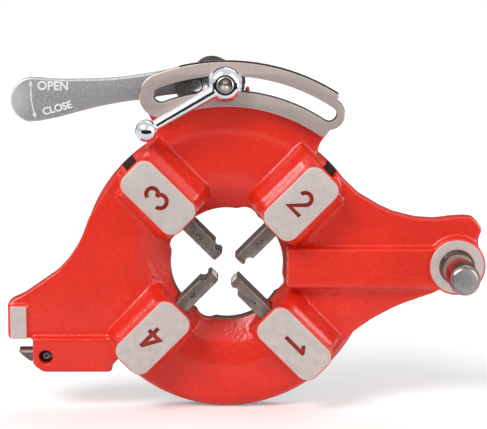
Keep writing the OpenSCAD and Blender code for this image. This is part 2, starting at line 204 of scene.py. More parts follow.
@dataclass(frozen=True)
class Finish:
    """One finish: its colour, its gloss and how it is worked."""

    name: str
    slot: str
    light: Tuple[float, float, float]
    dark: Tuple[float, float, float]
    grain: Grain
    metallic: float = 1.0
    roughness: float = 0.35
    coat: float = 0.0
    relief: float = 0.3
    specular: float = 0.5
    centre: Tuple[float, float] = (0.0, 0.0)
    turn: float = 0.0
    # Reach in millimetres of a paler patch round the centre: a painted highlight.
    highlight_reach: float = 0.0

    def material(self) -> bpy.types.Material:
        """The finish's material, made once."""
        found = bpy.data.materials.get(self.name)
        return found if found is not None else self.build()

    def build(self) -> bpy.types.Material:
        """Makes the node tree.

        Returns:
            The new material.
        """
        graph = ShaderGraph(self.name)
        shader = graph.add("ShaderNodeBsdfPrincipled")
        shader.inputs["Metallic"].default_value = self.metallic
        shader.inputs["Coat Weight"].default_value = self.coat
        shader.inputs["Specular IOR Level"].default_value = self.specular
        shader.inputs["Coat Roughness"].default_value = 0.12
        cloud, height, depth = self.pattern(graph)
        tint = graph.blend(graph.spread(cloud, 0, 1), colour(*self.dark), colour(*self.light))
        # Paler towards the centre, out to the given reach: a painted highlight.
        if self.highlight_reach:
            painted_highlight = graph.spread(self.distance(graph), 0.75, 0.0, 0.35 * self.highlight_reach * MM, self.highlight_reach * MM)
            tint = graph.blend(painted_highlight, tint, colour(224, 226, 220))
        if self.grain is Grain.PEEL:
            tint, normal = self.enamel(graph, tint, height, depth)
        else:
            normal = graph.bump(height, self.relief, depth)
        graph.join(tint, shader.inputs["Base Color"])
        rough = graph.spread(cloud, self.roughness * 1.15, self.roughness * 0.85)
        graph.join(rough, shader.inputs["Roughness"])
        graph.join(normal, shader.inputs["Normal"])
        graph.join(shader.outputs["BSDF"], graph.output.inputs["Surface"])
        return graph.material

    def pattern(self, graph: ShaderGraph) -> Tuple[bpy.types.NodeSocket, bpy.types.NodeSocket, float]:
        """Cloudiness, relief and relief depth of the grain."""
        if self.grain is Grain.PEEL:
            return graph.noise(28, 4), graph.noise(430, 5), 0.0007
        if self.grain is Grain.GROUND:
            return graph.noise(170, 5), graph.noise(1, 2, graph.stretched((900, 900, 5200))), 0.00006
        if self.grain is Grain.BRUSHED:
            fine = graph.noise(1, 3, graph.stretched((3800, 900, 240)))
            return fine, fine, 0.00008
        if self.grain is Grain.CROSSWISE:
            fine = graph.noise(1, 3, graph.stretched((2600, 500, 150), self.turn))
            return graph.noise(210, 4), fine, 0.00012
        if self.grain is Grain.TURNED:
            return graph.noise(120, 3), self.rings(graph), 0.00005
        if self.grain is Grain.SPANGLE:
            return graph.noise(640, 5), graph.noise(900, 3), 0.00010
        return graph.noise(60, 2), graph.noise(300, 2), 0.00002

    def distance(self, graph: ShaderGraph) -> bpy.types.NodeSocket:
        """Distance in metres from the axis through the finish's centre."""
        shift = graph.add("ShaderNodeVectorMath", operation="SUBTRACT")
        shift.inputs[1].default_value = (self.centre[0] * MM, 0, self.centre[1] * MM)
        graph.join(graph.place, shift.inputs[0])
        flat = graph.add("ShaderNodeVectorMath", operation="MULTIPLY")
        flat.inputs[1].default_value = (1, 0, 1)
        graph.join(shift.outputs[0], flat.inputs[0])
        length = graph.add("ShaderNodeVectorMath", operation="LENGTH")
        graph.join(flat.outputs[0], length.inputs[0])
        return length.outputs["Value"]

    def rings(self, graph: ShaderGraph) -> bpy.types.NodeSocket:
        """Fine rings round the finish's centre."""
        noise = graph.add("ShaderNodeTexNoise", noise_dimensions="1D")
        noise.inputs["Scale"].default_value = 2400
        graph.join(self.distance(graph), noise.inputs["W"])
        return noise.outputs["Fac"]

    def enamel(self, graph: ShaderGraph, tint: bpy.types.NodeSocket, height: bpy.types.NodeSocket,
               depth: float) -> Tuple[bpy.types.NodeSocket, bpy.types.NodeSocket]:
        """Enamel is paler on sharp edges, partly thin paint and partly a painted highlight, and lies over a cast
        surface.

        Args:
            graph: the material's graph.
            tint: the enamel's colour.
            height: the orange peel.
            depth: the peel's depth in metres.

        Returns:
            The colour and the normal.
        """
        edge = graph.add("ShaderNodeNewGeometry").outputs["Pointiness"]
        # Pale red on convex edges: partly thin enamel, partly a painted highlight.
        pale = graph.blend(graph.spread(edge, 0, 0.5, 0.53, 0.62), tint, colour(250, 120, 96))
        under = graph.bump(graph.noise(130, 2), 0.4, 0.0009)
        speck = graph.spread(graph.noise(560, 3), 0, 0.35, 0.5, 0.72)
        pale = graph.blend(speck, pale, colour(*self.dark, 0.7))
        return pale, graph.bump(height, self.relief, depth, under)


ENAMEL = Finish("red_enamel_cast", "red_enamel", (238, 48, 24), (222, 34, 16), Grain.PEEL,
                metallic=0.0, roughness=0.30, coat=0.3, relief=0.6, specular=0.4)
BORE_METAL = Finish("bored_metal", "red_enamel", (150, 122, 108), (104, 80, 70), Grain.TURNED,
                    metallic=0.7, roughness=0.4)
# Red paint of the numbers, darker than the enamel: painted shade of the recesses.
SHADED_NUMBER_PAINT = Finish("number_paint_shaded", "red_enamel", (186, 50, 30), (146, 30, 20), Grain.SPANGLE,
                      metallic=0.0, roughness=0.35)
# Pale pink rim of the machined faces: partly thin paint at the cut edge, partly a painted highlight.
PALE_EDGE_AND_HIGHLIGHT = Finish("pale_edge_and_highlight", "red_enamel", (248, 178, 164), (240, 140, 122), Grain.SMOOTH,
                    metallic=0.0, roughness=0.4)
GROUND_FACE = Finish("ground_face", "bright_steel", (218, 206, 201), (198, 187, 182), Grain.GROUND,
                     metallic=0.35, roughness=0.5)
BAR_STEEL = Finish("bar_blanked", "bar_steel", (208, 192, 187), (180, 165, 160), Grain.BRUSHED,
                   metallic=0.55, roughness=0.42, relief=0.35)
DIE_STEEL = Finish("die_milled", "die_steel", (166, 152, 146), (124, 113, 108), Grain.CROSSWISE,
                   metallic=0.75, roughness=0.36, relief=0.5)
DIE_FLANK = Finish("die_ground_lead", "die_steel", (242, 234, 226), (224, 216, 208), Grain.GROUND,
                   metallic=0.1, roughness=0.35)
DIE_SIDE = Finish("die_ground_side", "die_steel", (226, 217, 210), (204, 195, 189), Grain.GROUND,
                  metallic=0.25, roughness=0.36)
# Black of the struck numbers, also used as a painted shade line on the dies' front edges.
STAMP_AND_EDGE_SHADE = Finish("stamped_mark_and_edge_shade", "black_steel", (52, 46, 44), (34, 30, 28), Grain.SPANGLE,
               metallic=0.2, roughness=0.6)
CHROME = Finish("chrome_polished", "chrome_plate", (236, 238, 242), (224, 227, 233), Grain.SMOOTH,
                roughness=0.07, relief=0.1)
ZINC = Finish("zinc_satin", "plated_steel", (198, 197, 197), (154, 155, 162), Grain.SPANGLE,
              # The handle's end is painted paler round its centre: a painted highlight.
              metallic=0.5, roughness=0.38, relief=0.3, centre=(-152.0, 117.5), highlight_reach=18.0)
LETTER_ZINC = Finish("zinc_raised", "plated_steel", (252, 252, 250), (240, 240, 238), Grain.SPANGLE,
                     metallic=0.1, roughness=0.3)
LINK_STEEL = Finish("link_oiled", "black_steel", (150, 142, 138), (92, 86, 84), Grain.GROUND,
                    metallic=0.8, roughness=0.36)
# Dark metal painted on the slot's upward-facing walls and bevels: painted shade.
SLOT_EDGE_SHADE = Finish("slot_edge_shade", "bar_steel", (84, 76, 72), (56, 50, 48), Grain.GROUND,
                   metallic=0.7, roughness=0.45)
BLACK_STEEL = Finish("blackened_steel", "black_steel", (70, 65, 63), (52, 48, 46), Grain.GROUND,
                     metallic=0.85, roughness=0.34)
CAM_STEEL = Finish("cam_turned", "cam_steel", (112, 106, 103), (90, 85, 82), Grain.TURNED,
                   metallic=0.8, roughness=0.36)
BRIGHT_STEEL = Finish("bright_turned", "bright_steel", (214, 212, 210), (186, 184, 182), Grain.TURNED,
                      roughness=0.24)
STUD_STEEL = Finish("stud_turned", "plated_steel", (196, 188, 182), (150, 142, 138), Grain.TURNED,
                    roughness=0.28, centre=(-0.7, 130.2))
POST_STEEL = Finish("post_turned", "post_steel", (182, 166, 158), (134, 120, 114), Grain.TURNED,
                    roughness=0.24, centre=(162.4, 0.5))
POST_END = Finish("post_sawn_end", "post_steel", (176, 176, 174), (142, 142, 141), Grain.CROSSWISE,
                  metallic=0.8, roughness=0.45, relief=0.6)
BRONZE = Finish("oiled_bronze", "bronze", (176, 128, 70), (140, 98, 52), Grain.TURNED,
                roughness=0.3, centre=(-10.2, 134.5))
SPRING_STEEL = Finish("spring_wire", "spring_steel", (150, 148, 146), (110, 108, 106), Grain.SMOOTH,
                      roughness=0.25)


# ---------------------------------------------------------------- mesh tools


def front(x: float, y: float, height: float) -> Vector:
    """Point in metres of a place in the front view."""
    return Vector((x, -height, y)) * MM


def polar(radius: float, angle: float) -> Point:
    """Point at a radius and an angle in degrees."""
    return (radius * math.cos(math.radians(angle)), radius * math.sin(math.radians(angle)))


def arc(middle: Point, radius: float, start: float, end: float, steps: int) -> Loop:
    """Points along an arc, ends included."""
    turns = [start + (end - start) * i / steps for i in range(steps + 1)]
    return [(middle[0] + polar(radius, t)[0], middle[1] + polar(radius, t)[1]) for t in turns]


def turned(loop: Loop, angle: float, shift: Point = (0.0, 0.0)) -> Loop:
    """Loop turned about the origin and then moved."""
    c, s = math.cos(math.radians(angle)), math.sin(math.radians(angle))
    return [(c * x - s * y + shift[0], s * x + c * y + shift[1]) for x, y in loop]


def circle(middle: Point, radius: float, steps: int = 64) -> Loop:
    """Closed circle, without a doubled end."""
    return arc(middle, radius, 0, 360, steps)[:-1]


def signed_area(loop: Loop) -> float:
    """Area of a loop, positive when it runs anticlockwise."""
    pairs = zip(loop, loop[1:] + loop[:1])
    return sum(a[0] * b[1] - b[0] * a[1] for a, b in pairs) / 2


def smooth_by_angle(mesh: bpy.types.Mesh, degrees: float = 32) -> None:
    """Shades smooth except over edges sharper than the angle."""
    mesh.shade_smooth()
    mesh.set_sharp_from_angle(angle=math.radians(degrees))


def new_object(name: str, mesh: bpy.types.Mesh) -> bpy.types.Object:
    """Object at the origin that holds a mesh."""
    mesh.name = name
    obj = bpy.data.objects.new(name, mesh)
    bpy.context.scene.collection.objects.link(obj)
    return obj


def cleaned(mesh: bpy.types.Mesh, merge: float = 1e-6) -> bpy.types.Mesh:
    """Merges doubled points and turns every face outwards."""
    bm = bmesh.new()
    bm.from_mesh(mesh)
    bmesh.ops.remove_doubles(bm, verts=bm.verts, dist=merge)
    bmesh.ops.recalc_face_normals(bm, faces=bm.faces)
    bm.to_mesh(mesh)
    bm.free()
    return mesh


def evaluated(obj: bpy.types.Object) -> bpy.types.Mesh:
    """Mesh of an object with its modifiers applied."""
    graph = bpy.context.evaluated_depsgraph_get()
    graph.update()
    return bpy.data.meshes.new_from_object(obj.evaluated_get(graph), depsgraph=graph)


def apply_modifiers(obj: bpy.types.Object) -> None:
    """Bakes an object's modifiers into its mesh and removes them."""
    mesh = evaluated(obj)
    obj.modifiers.clear()
    old, obj.data = obj.data, mesh
    mesh.name = obj.name
    bpy.data.meshes.remove(old)


def discard(*objects: bpy.types.Object) -> None:
    """Removes helper objects."""
    for obj in objects:
        bpy.data.objects.remove(obj)


def plate(name: str, loops: Sequence[Loop], back: float, face: float, bevel: float = 0.3,
          rings: int = 2) -> bpy.types.Object:
    """Flat plate with rounded edges.

    Args:
        name: the object's name.
        loops: the outline first, then the holes.
        back: height of the back of the plate.
        face: height of its front.
        bevel: radius of the edges.
        rings: steps round an edge.

    Returns:
        The plate.
    """
    curve = bpy.data.curves.new(name, "CURVE")
    curve.dimensions = "2D"
    curve.fill_mode = "BOTH"
    curve.extrude = ((face - back) / 2 - bevel) * MM
    curve.bevel_depth = bevel * MM
    curve.bevel_resolution = rings
    curve.offset = -bevel * MM
    for index, loop in enumerate(loops):
        ordered = loop if (signed_area(loop) > 0) == (index == 0) else loop[::-1]
        spline = curve.splines.new("POLY")
        spline.points.add(len(ordered) - 1)
        for point, (x, y) in zip(spline.points, ordered):
            point.co = (x * MM, y * MM, 0, 1)
        spline.use_cyclic_u = True
    helper = bpy.data.objects.new(name + "_curve", curve)
    bpy.context.scene.collection.objects.link(helper)
    mesh = evaluated(helper)
    discard(helper)
    mesh.transform(standing(0, 0, (back + face) / 2))
    cleaned(mesh)
    smooth_by_angle(mesh)
    return new_object(name, mesh)


def standing(x: float, y: float, height: float, angle: float = 0.0) -> Matrix:
    """Matrix that stands a flat shape up in the front view."""
    lift = Matrix(((1, 0, 0, x * MM), (0, 0, -1, -height * MM), (0, 1, 0, y * MM), (0, 0, 0, 1)))
    return lift @ Matrix.Rotation(math.radians(angle), 4, "Z")


def prism(name: str, loop: Loop, back: float, face: float) -> bpy.types.Object:
    """Sharp-edged prism of one outline."""
    bm = bmesh.new()
    low = [bm.verts.new(front(x, y, back)) for x, y in loop]
    high = [bm.verts.new(front(x, y, face)) for x, y in loop]
    bm.faces.new(low)
    bm.faces.new(high)
    for i in range(len(loop)):
        j = (i + 1) % len(loop)
        bm.faces.new((low[i], low[j], high[j], high[i]))
    bmesh.ops.recalc_face_normals(bm, faces=bm.faces)
    mesh = bpy.data.meshes.new(name)
    bm.to_mesh(mesh)
    bm.free()
    return new_object(name, mesh)


def lathe(name: str, profile: Sequence[Point], middle: Point, steps: int = 96) -> bpy.types.Object:
    """Solid turned round an axis that points at the viewer.

    Args:
        name: the object's name.
        profile: radius and height pairs. A radius of 0 closes an end.
        middle: where the axis is.
        steps: points round a turn.

    Returns:
        The turned solid.
    """
    bm = bmesh.new()
    rows = []
    for radius, height in profile:
        if radius == 0:
            rows.append([bm.verts.new(front(middle[0], middle[1], height))])
            continue
        loop = circle(middle, radius, steps)
        rows.append([bm.verts.new(front(x, y, height)) for x, y in loop])
    for low, high in zip(rows, rows[1:] + ([] if profile[0][0] == 0 else rows[:1])):
        for i in range(steps):
            j = (i + 1) % steps
            corners = [low[i % len(low)], low[j % len(low)], high[j % len(high)], high[i % len(high)]]
            kept = list(dict.fromkeys(corners))
            if len(kept) > 2:
                bm.faces.new(kept)
    bmesh.ops.recalc_face_normals(bm, faces=bm.faces)
    mesh = bpy.data.meshes.new(name)
    bm.to_mesh(mesh)
    bm.free()
    smooth_by_angle(mesh)
    return new_object(name, mesh)


def stroke(points: Loop, width: float) -> Loop:
    """Outline of a line with flat ends and mitred corners.

    Args:
        points: the line's points.
        width: the line's width.

    Returns:
        The closed outline.
    """
    sides: Tuple[Loop, Loop] = ([], [])
    for i, (x, y) in enumerate(points):
        before = Vector(points[max(i - 1, 0)])
        after = Vector(points[min(i + 1, len(points) - 1)])
        here = Vector((x, y))
        first = (here - before).normalized() if i > 0 else (after - here).normalized()
        second = (after - here).normalized() if i < len(points) - 1 else first
        along = (first + second).normalized()
        reach = width / 2 / max(along.dot(first), 0.5)
        sides[0].append((x - along.y * reach, y + along.x * reach))
        sides[1].append((x + along.y * reach, y - along.x * reach))
    return sides[0] + sides[1][::-1]


def joined(name: str, parts: Sequence[bpy.types.Object]) -> bpy.types.Object:
    """One object that holds the meshes of several, with their materials."""
    bm = bmesh.new()
    materials: List[bpy.types.Material] = []
    for part in parts:
        shift = [materials.index(m) if m in materials else len(materials) for m in part.data.materials]
        for material, index in zip(part.data.materials, shift):
            if index == len(materials):
                materials.append(material)
        first = len(bm.faces)
        bm.from_mesh(part.data)
        bm.faces.ensure_lookup_table()
        for face in bm.faces[first:]:
            face.material_index = shift[face.material_index] if shift else 0
    mesh = bpy.data.meshes.new(name)
    bm.to_mesh(mesh)
    bm.free()
    for material in materials:
        mesh.materials.append(material)
    discard(*parts)
    return new_object(name, mesh)


def cut(target: bpy.types.Object, *tools: bpy.types.Object) -> None:
    """Cuts each tool out of the target, one after another."""
    for tool in tools:
        modifier = target.modifiers.new("cut", "BOOLEAN")
        modifier.operation = "DIFFERENCE"
        modifier.solver = "EXACT"
        modifier.object = tool
        apply_modifiers(target)
    discard(*tools)
    cleaned(target.data)
    smooth_by_angle(target.data)


def softened(name: str, parts: Sequence[bpy.types.Object], voxel: float, passes: int) -> bpy.types.Object:
    """One skin over several closed shapes, with every edge and corner rounded.

    Args:
        name: the object's name.
        parts: closed shapes that may overlap. They are used up.
        voxel: size of the skin's cells.
        passes: smoothing passes.

    Returns:
        The skin.
    """
    obj = joined(name, parts)
    remesh = obj.modifiers.new("skin", "REMESH")
    remesh.mode = "VOXEL"
    remesh.voxel_size = voxel * MM
    relax = obj.modifiers.new("relax", "SMOOTH")
    relax.factor = 0.5
    relax.iterations = passes
    apply_modifiers(obj)
    obj.data.shade_smooth()
    return obj


def merged_copy(node: str, name: str) -> bpy.types.Object:
    """Closed copy of a CAD node."""
    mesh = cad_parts[node].data.copy()
    mesh.materials.clear()
    return new_object(name, cleaned(mesh, 2e-6))


def lettering(name: str, words: str, height: float, depth: float) -> bpy.types.Mesh:
    """Raised letters, centred, lying flat.

    Args:
        name: the helper's name.
        words: the letters.
        height: height of a capital letter.
        depth: how far they stand up.

    Returns:
        Their mesh.
    """
    capital = 0.73
    curve = bpy.data.curves.new(name, "FONT")
    curve.body = words
    curve.align_x = "CENTER"
    curve.align_y = "CENTER"
    curve.size = height / capital * MM
    curve.extrude = depth / 2 * MM
    curve.bevel_depth = 0.12 * MM
    curve.offset = 0.08 * MM
    helper = bpy.data.objects.new(name, curve)
    bpy.context.scene.collection.objects.link(helper)
    mesh = evaluated(helper)
    discard(helper)
    return mesh


def dress(obj: bpy.types.Object, *finishes: Finish) -> bpy.types.Object:
    """Gives an object its finishes, one for each material slot."""
    obj.data.materials.clear()
    for finish in finishes:
        obj.data.materials.append(finish.material())
    return obj


def settle(obj: bpy.types.Object, body: str, finish: Finish, *nodes: str) -> bpy.types.Object:
    """Puts a finished piece on its body.

    Args:
        obj: the piece.
        body: the body that it rides on.
        finish: not used.
        nodes: the CAD nodes that it stands for.

    Returns:
        The piece.
    """
    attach(obj, body)
    if nodes:
        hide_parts(*nodes)
    LOG.info("%s rides on %s, %d faces", obj.name, body, len(obj.data.polygons))
    return obj


# ---------------------------------------------------------------- geometry node trees


class PatternTree:
    """Geometry node tree with named size inputs that ends in Realize Instances and Set Material."""

    def __init__(self, name: str) -> None:
        """Starts an empty tree.

        Args:
            name: the tree's name.
        """
        self.tree = bpy.data.node_groups.new(name, "GeometryNodeTree")
        self.tree.interface.new_socket("Geometry", in_out="INPUT", socket_type="NodeSocketGeometry")
        self.tree.interface.new_socket("Geometry", in_out="OUTPUT", socket_type="NodeSocketGeometry")
        self.sizes: Dict[str, str] = {}
        self.given = self.tree.nodes.new("NodeGroupInput")

    def size(self, name: str, whole: bool = False) -> bpy.types.NodeSocket:
        """Adds a named input.

        Args:
            name: the input's name.
            whole: whether it is a whole number.

        Returns:
            The socket that gives its value inside the tree.
        """
        kind = "NodeSocketInt" if whole else "NodeSocketFloat"
        socket = self.tree.interface.new_socket(name, in_out="INPUT", socket_type=kind)
        self.sizes[name] = socket.identifier
        return self.given.outputs[name]

    def node(self, kind: str, links: Optional[Dict[object, object]] = None, **values: object) -> bpy.types.Node:
        """Adds a node.

        Args:
            kind: the node's type.
            links: value or socket for each input, by name or index.
            **values: attributes set on the node.

        Returns:
            The node.
        """
        made = self.tree.nodes.new(kind)
        for key, value in values.items():
            setattr(made, key, value)
        for key, value in (links or {}).items():
            if isinstance(value, bpy.types.NodeSocket):
                self.tree.links.new(value, made.inputs[key])
            else:
                made.inputs[key].default_value = value
        return made

    def apply(self, name: str, made: bpy.types.NodeSocket, finish: Finish,
              **sizes: float) -> bpy.types.Object:
        """Ends the tree, runs it and keeps the result as a plain mesh.

        Args:
            name: the piece's name.
            made: the geometry that the tree makes.
            finish: the piece's finish.
            **sizes: a value for each named input, with _ for a space.

        Returns:
            The piece.
        """
        real = self.node("GeometryNodeRealizeInstances", {0: made})
        painted = self.node("GeometryNodeSetMaterial", {"Geometry": real.outputs[0],
                                                        "Material": finish.material()})
        out = self.tree.nodes.new("NodeGroupOutput")
        self.tree.links.new(painted.outputs[0], out.inputs[0])
        obj = new_object(name, bpy.data.meshes.new(name))
        modifier = obj.modifiers.new("pattern", "NODES")
        modifier.node_group = self.tree
        for key, value in sizes.items():
            modifier[self.sizes[key.replace("_", " ")]] = value
        apply_modifiers(obj)
        return obj


def screw_circle(name: str, places: Loop, head: float, sink: float, shank: float, reach: float,
                 back: float, finish: Finish) -> bpy.types.Object:
    """Set of screws with hexagon sockets, put in from the back.

    Args:
        name: the piece's name.
        places: where the screws are.
        head: radius of a head.
        sink: radius of the head's inner end, equal to head on a cap screw.
        shank: radius of the shank.
        reach: height of the head.
        back: height of the back of the heads.
        finish: the screws' finish.

    Returns:
        The screws as one piece.
    """
    tree = PatternTree(name + "_tree")
    outer, inner, high = tree.size("Head"), tree.size("Sink"), tree.size("Height")
    thick, long = tree.size("Shank"), tree.size("Length")
    half = tree.node("ShaderNodeMath", {0: high, 1: 0.5}, operation="MULTIPLY").outputs[0]
    cone = tree.node("GeometryNodeMeshCone", {"Vertices": 32, "Radius Top": inner,
                                              "Radius Bottom": outer, "Depth": high})
    socket = tree.node("GeometryNodeMeshCylinder", {"Vertices": 6, "Radius": thick, "Depth": high})
    drop = tree.node("ShaderNodeCombineXYZ", {"Z": tree.node(
        "ShaderNodeMath", {0: half, 1: -0.2}, operation="MULTIPLY").outputs[0]})
    sunk = tree.node("GeometryNodeTransform", {"Geometry": socket.outputs[0],
                                               "Translation": drop.outputs[0], "Scale": (0.8, 0.8, 1)})
    headed = tree.node("GeometryNodeMeshBoolean", {0: cone.outputs[0], 1: sunk.outputs[0]},
                       operation="DIFFERENCE")
    rod = tree.node("GeometryNodeMeshCylinder", {"Vertices": 24, "Radius": thick, "Depth": long})
    rise = tree.node("ShaderNodeMath", {0: tree.node(
        "ShaderNodeMath", {0: long, 1: 0.5}, operation="MULTIPLY").outputs[0], 1: high}, operation="ADD")
    put = tree.node("ShaderNodeCombineXYZ", {"Z": rise.outputs[0]})
    shaft = tree.node("GeometryNodeTransform", {"Geometry": rod.outputs[0], "Translation": put.outputs[0]})
    whole = tree.node("GeometryNodeJoinGeometry")
    for part in (headed.outputs[0], shaft.outputs[0]):
        tree.tree.links.new(part, whole.inputs[0])
    spots = tree.node("GeometryNodeJoinGeometry")
    for x, y in places:
        point = tree.node("GeometryNodePoints", {"Count": 1, "Position": front(x, y, back)})
        tree.tree.links.new(point.outputs[0], spots.inputs[0])
    placed = tree.node("GeometryNodeInstanceOnPoints", {
        "Points": spots.outputs[0], "Instance": whole.outputs[0], "Rotation": (math.pi / 2, 0, 0)})
    screws = tree.apply(name, placed.outputs[0], finish, Head=head * MM, Sink=sink * MM,
                        Height=reach * MM, Shank=shank * MM, Length=2.6 * MM)
    smooth_by_angle(screws.data)
    return screws


# ---------------------------------------------------------------- places from the frame


def middle_of(node: str) -> Point:
    """Middle of a CAD node in the front view, in millimetres."""
    low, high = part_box(node)
    return ((low.x + high.x) / 2 / MM, (low.z + high.z) / 2 / MM)


def heights_of(node: str) -> Point:
    """Heights of a CAD node's back and front, in millimetres."""
    low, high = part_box(node)
    return (-high.y / MM, -low.y / MM)


DIE_ANGLES = {1: -45.0, 2: 45.0, 3: 135.0, 4: 225.0}

# Strokes of each digit, centred, in a box 10 wide and 14 high.
DIGIT_STROKES: Dict[int, List[Loop]] = {
    1: [[(0.6, 7.0), (0.6, -7.0)], [(-2.9, 3.4), (0.9, 6.2)]],
    2: [arc((-0.1, 2.9), 3.4, 176, -30, 14) + [(-3.9, -5.9), (4.5, -5.9)]],
    3: [arc((-0.3, 3.0), 3.2, 172, -78, 14), arc((-0.3, -2.9), 3.7, 82, -172, 16)],
    4: [[(4.9, -2.6), (-3.2, -2.6), (1.9, 6.6)], [(1.9, 6.9), (1.9, -7.0)]],
}


def digit_loops(digit: int, height: float, width: float, angle: float, middle: Point) -> List[Loop]:
    """Outlines of a digit whose top points along an angle.

    Args:
        digit: 1 to 4.
        height: the digit's height.
        width: the stroke's width.
        angle: where the digit's top points, in degrees.
        middle: the digit's centre.

    Returns:
        One outline for each stroke.
    """
    size = height / 14
    outlines = [stroke([(x * size, y * size) for x, y in line], width) for line in DIGIT_STROKES[digit]]
    return [turned(outline, angle - 90, middle) for outline in outlines]


def paint(obj: bpy.types.Object, slot: int, test: Callable[[Vector, Vector], bool]) -> None:
    """Gives a material slot to the faces whose centre and normal pass a test."""
    for face in obj.data.polygons:
        if test(face.center, face.normal):
            face.material_index = slot


def wedge(name: str, stations: Sequence[Tuple[float, Loop]], angle: float, shift: float,
          side: int) -> bpy.types.Object:
    """Solid lofted along a radius through sections that lie across it.

    Args:
        name: the object's name.
        stations: a radius and its section, as distances to the side and heights.
        angle: the radius's angle in degrees.
        shift: how far the sections' zero lies to the side of the radius.
        side: 1 or -1, the side that the sections reach to.

    Returns:
        The solid.
    """
    bm = bmesh.new()
    rows = []
    for radius, section in stations:
        flat = turned([(radius, shift + side * t) for t, _ in section], angle)
        rows.append([bm.verts.new(front(x, y, f)) for (x, y), (_, f) in zip(flat, section)])
    bm.faces.new(rows[0])
    bm.faces.new(rows[-1])
    for first, second in zip(rows, rows[1:]):
        for i in range(len(first)):
            j = (i + 1) % len(first)
            bm.faces.new((first[i], first[j], second[j], second[i]))
    bmesh.ops.recalc_face_normals(bm, faces=bm.faces)
    mesh = bpy.data.meshes.new(name)
    bm.to_mesh(mesh)
    bm.free()
    return new_object(name, mesh)


# ---------------------------------------------------------------- sub-assemblies


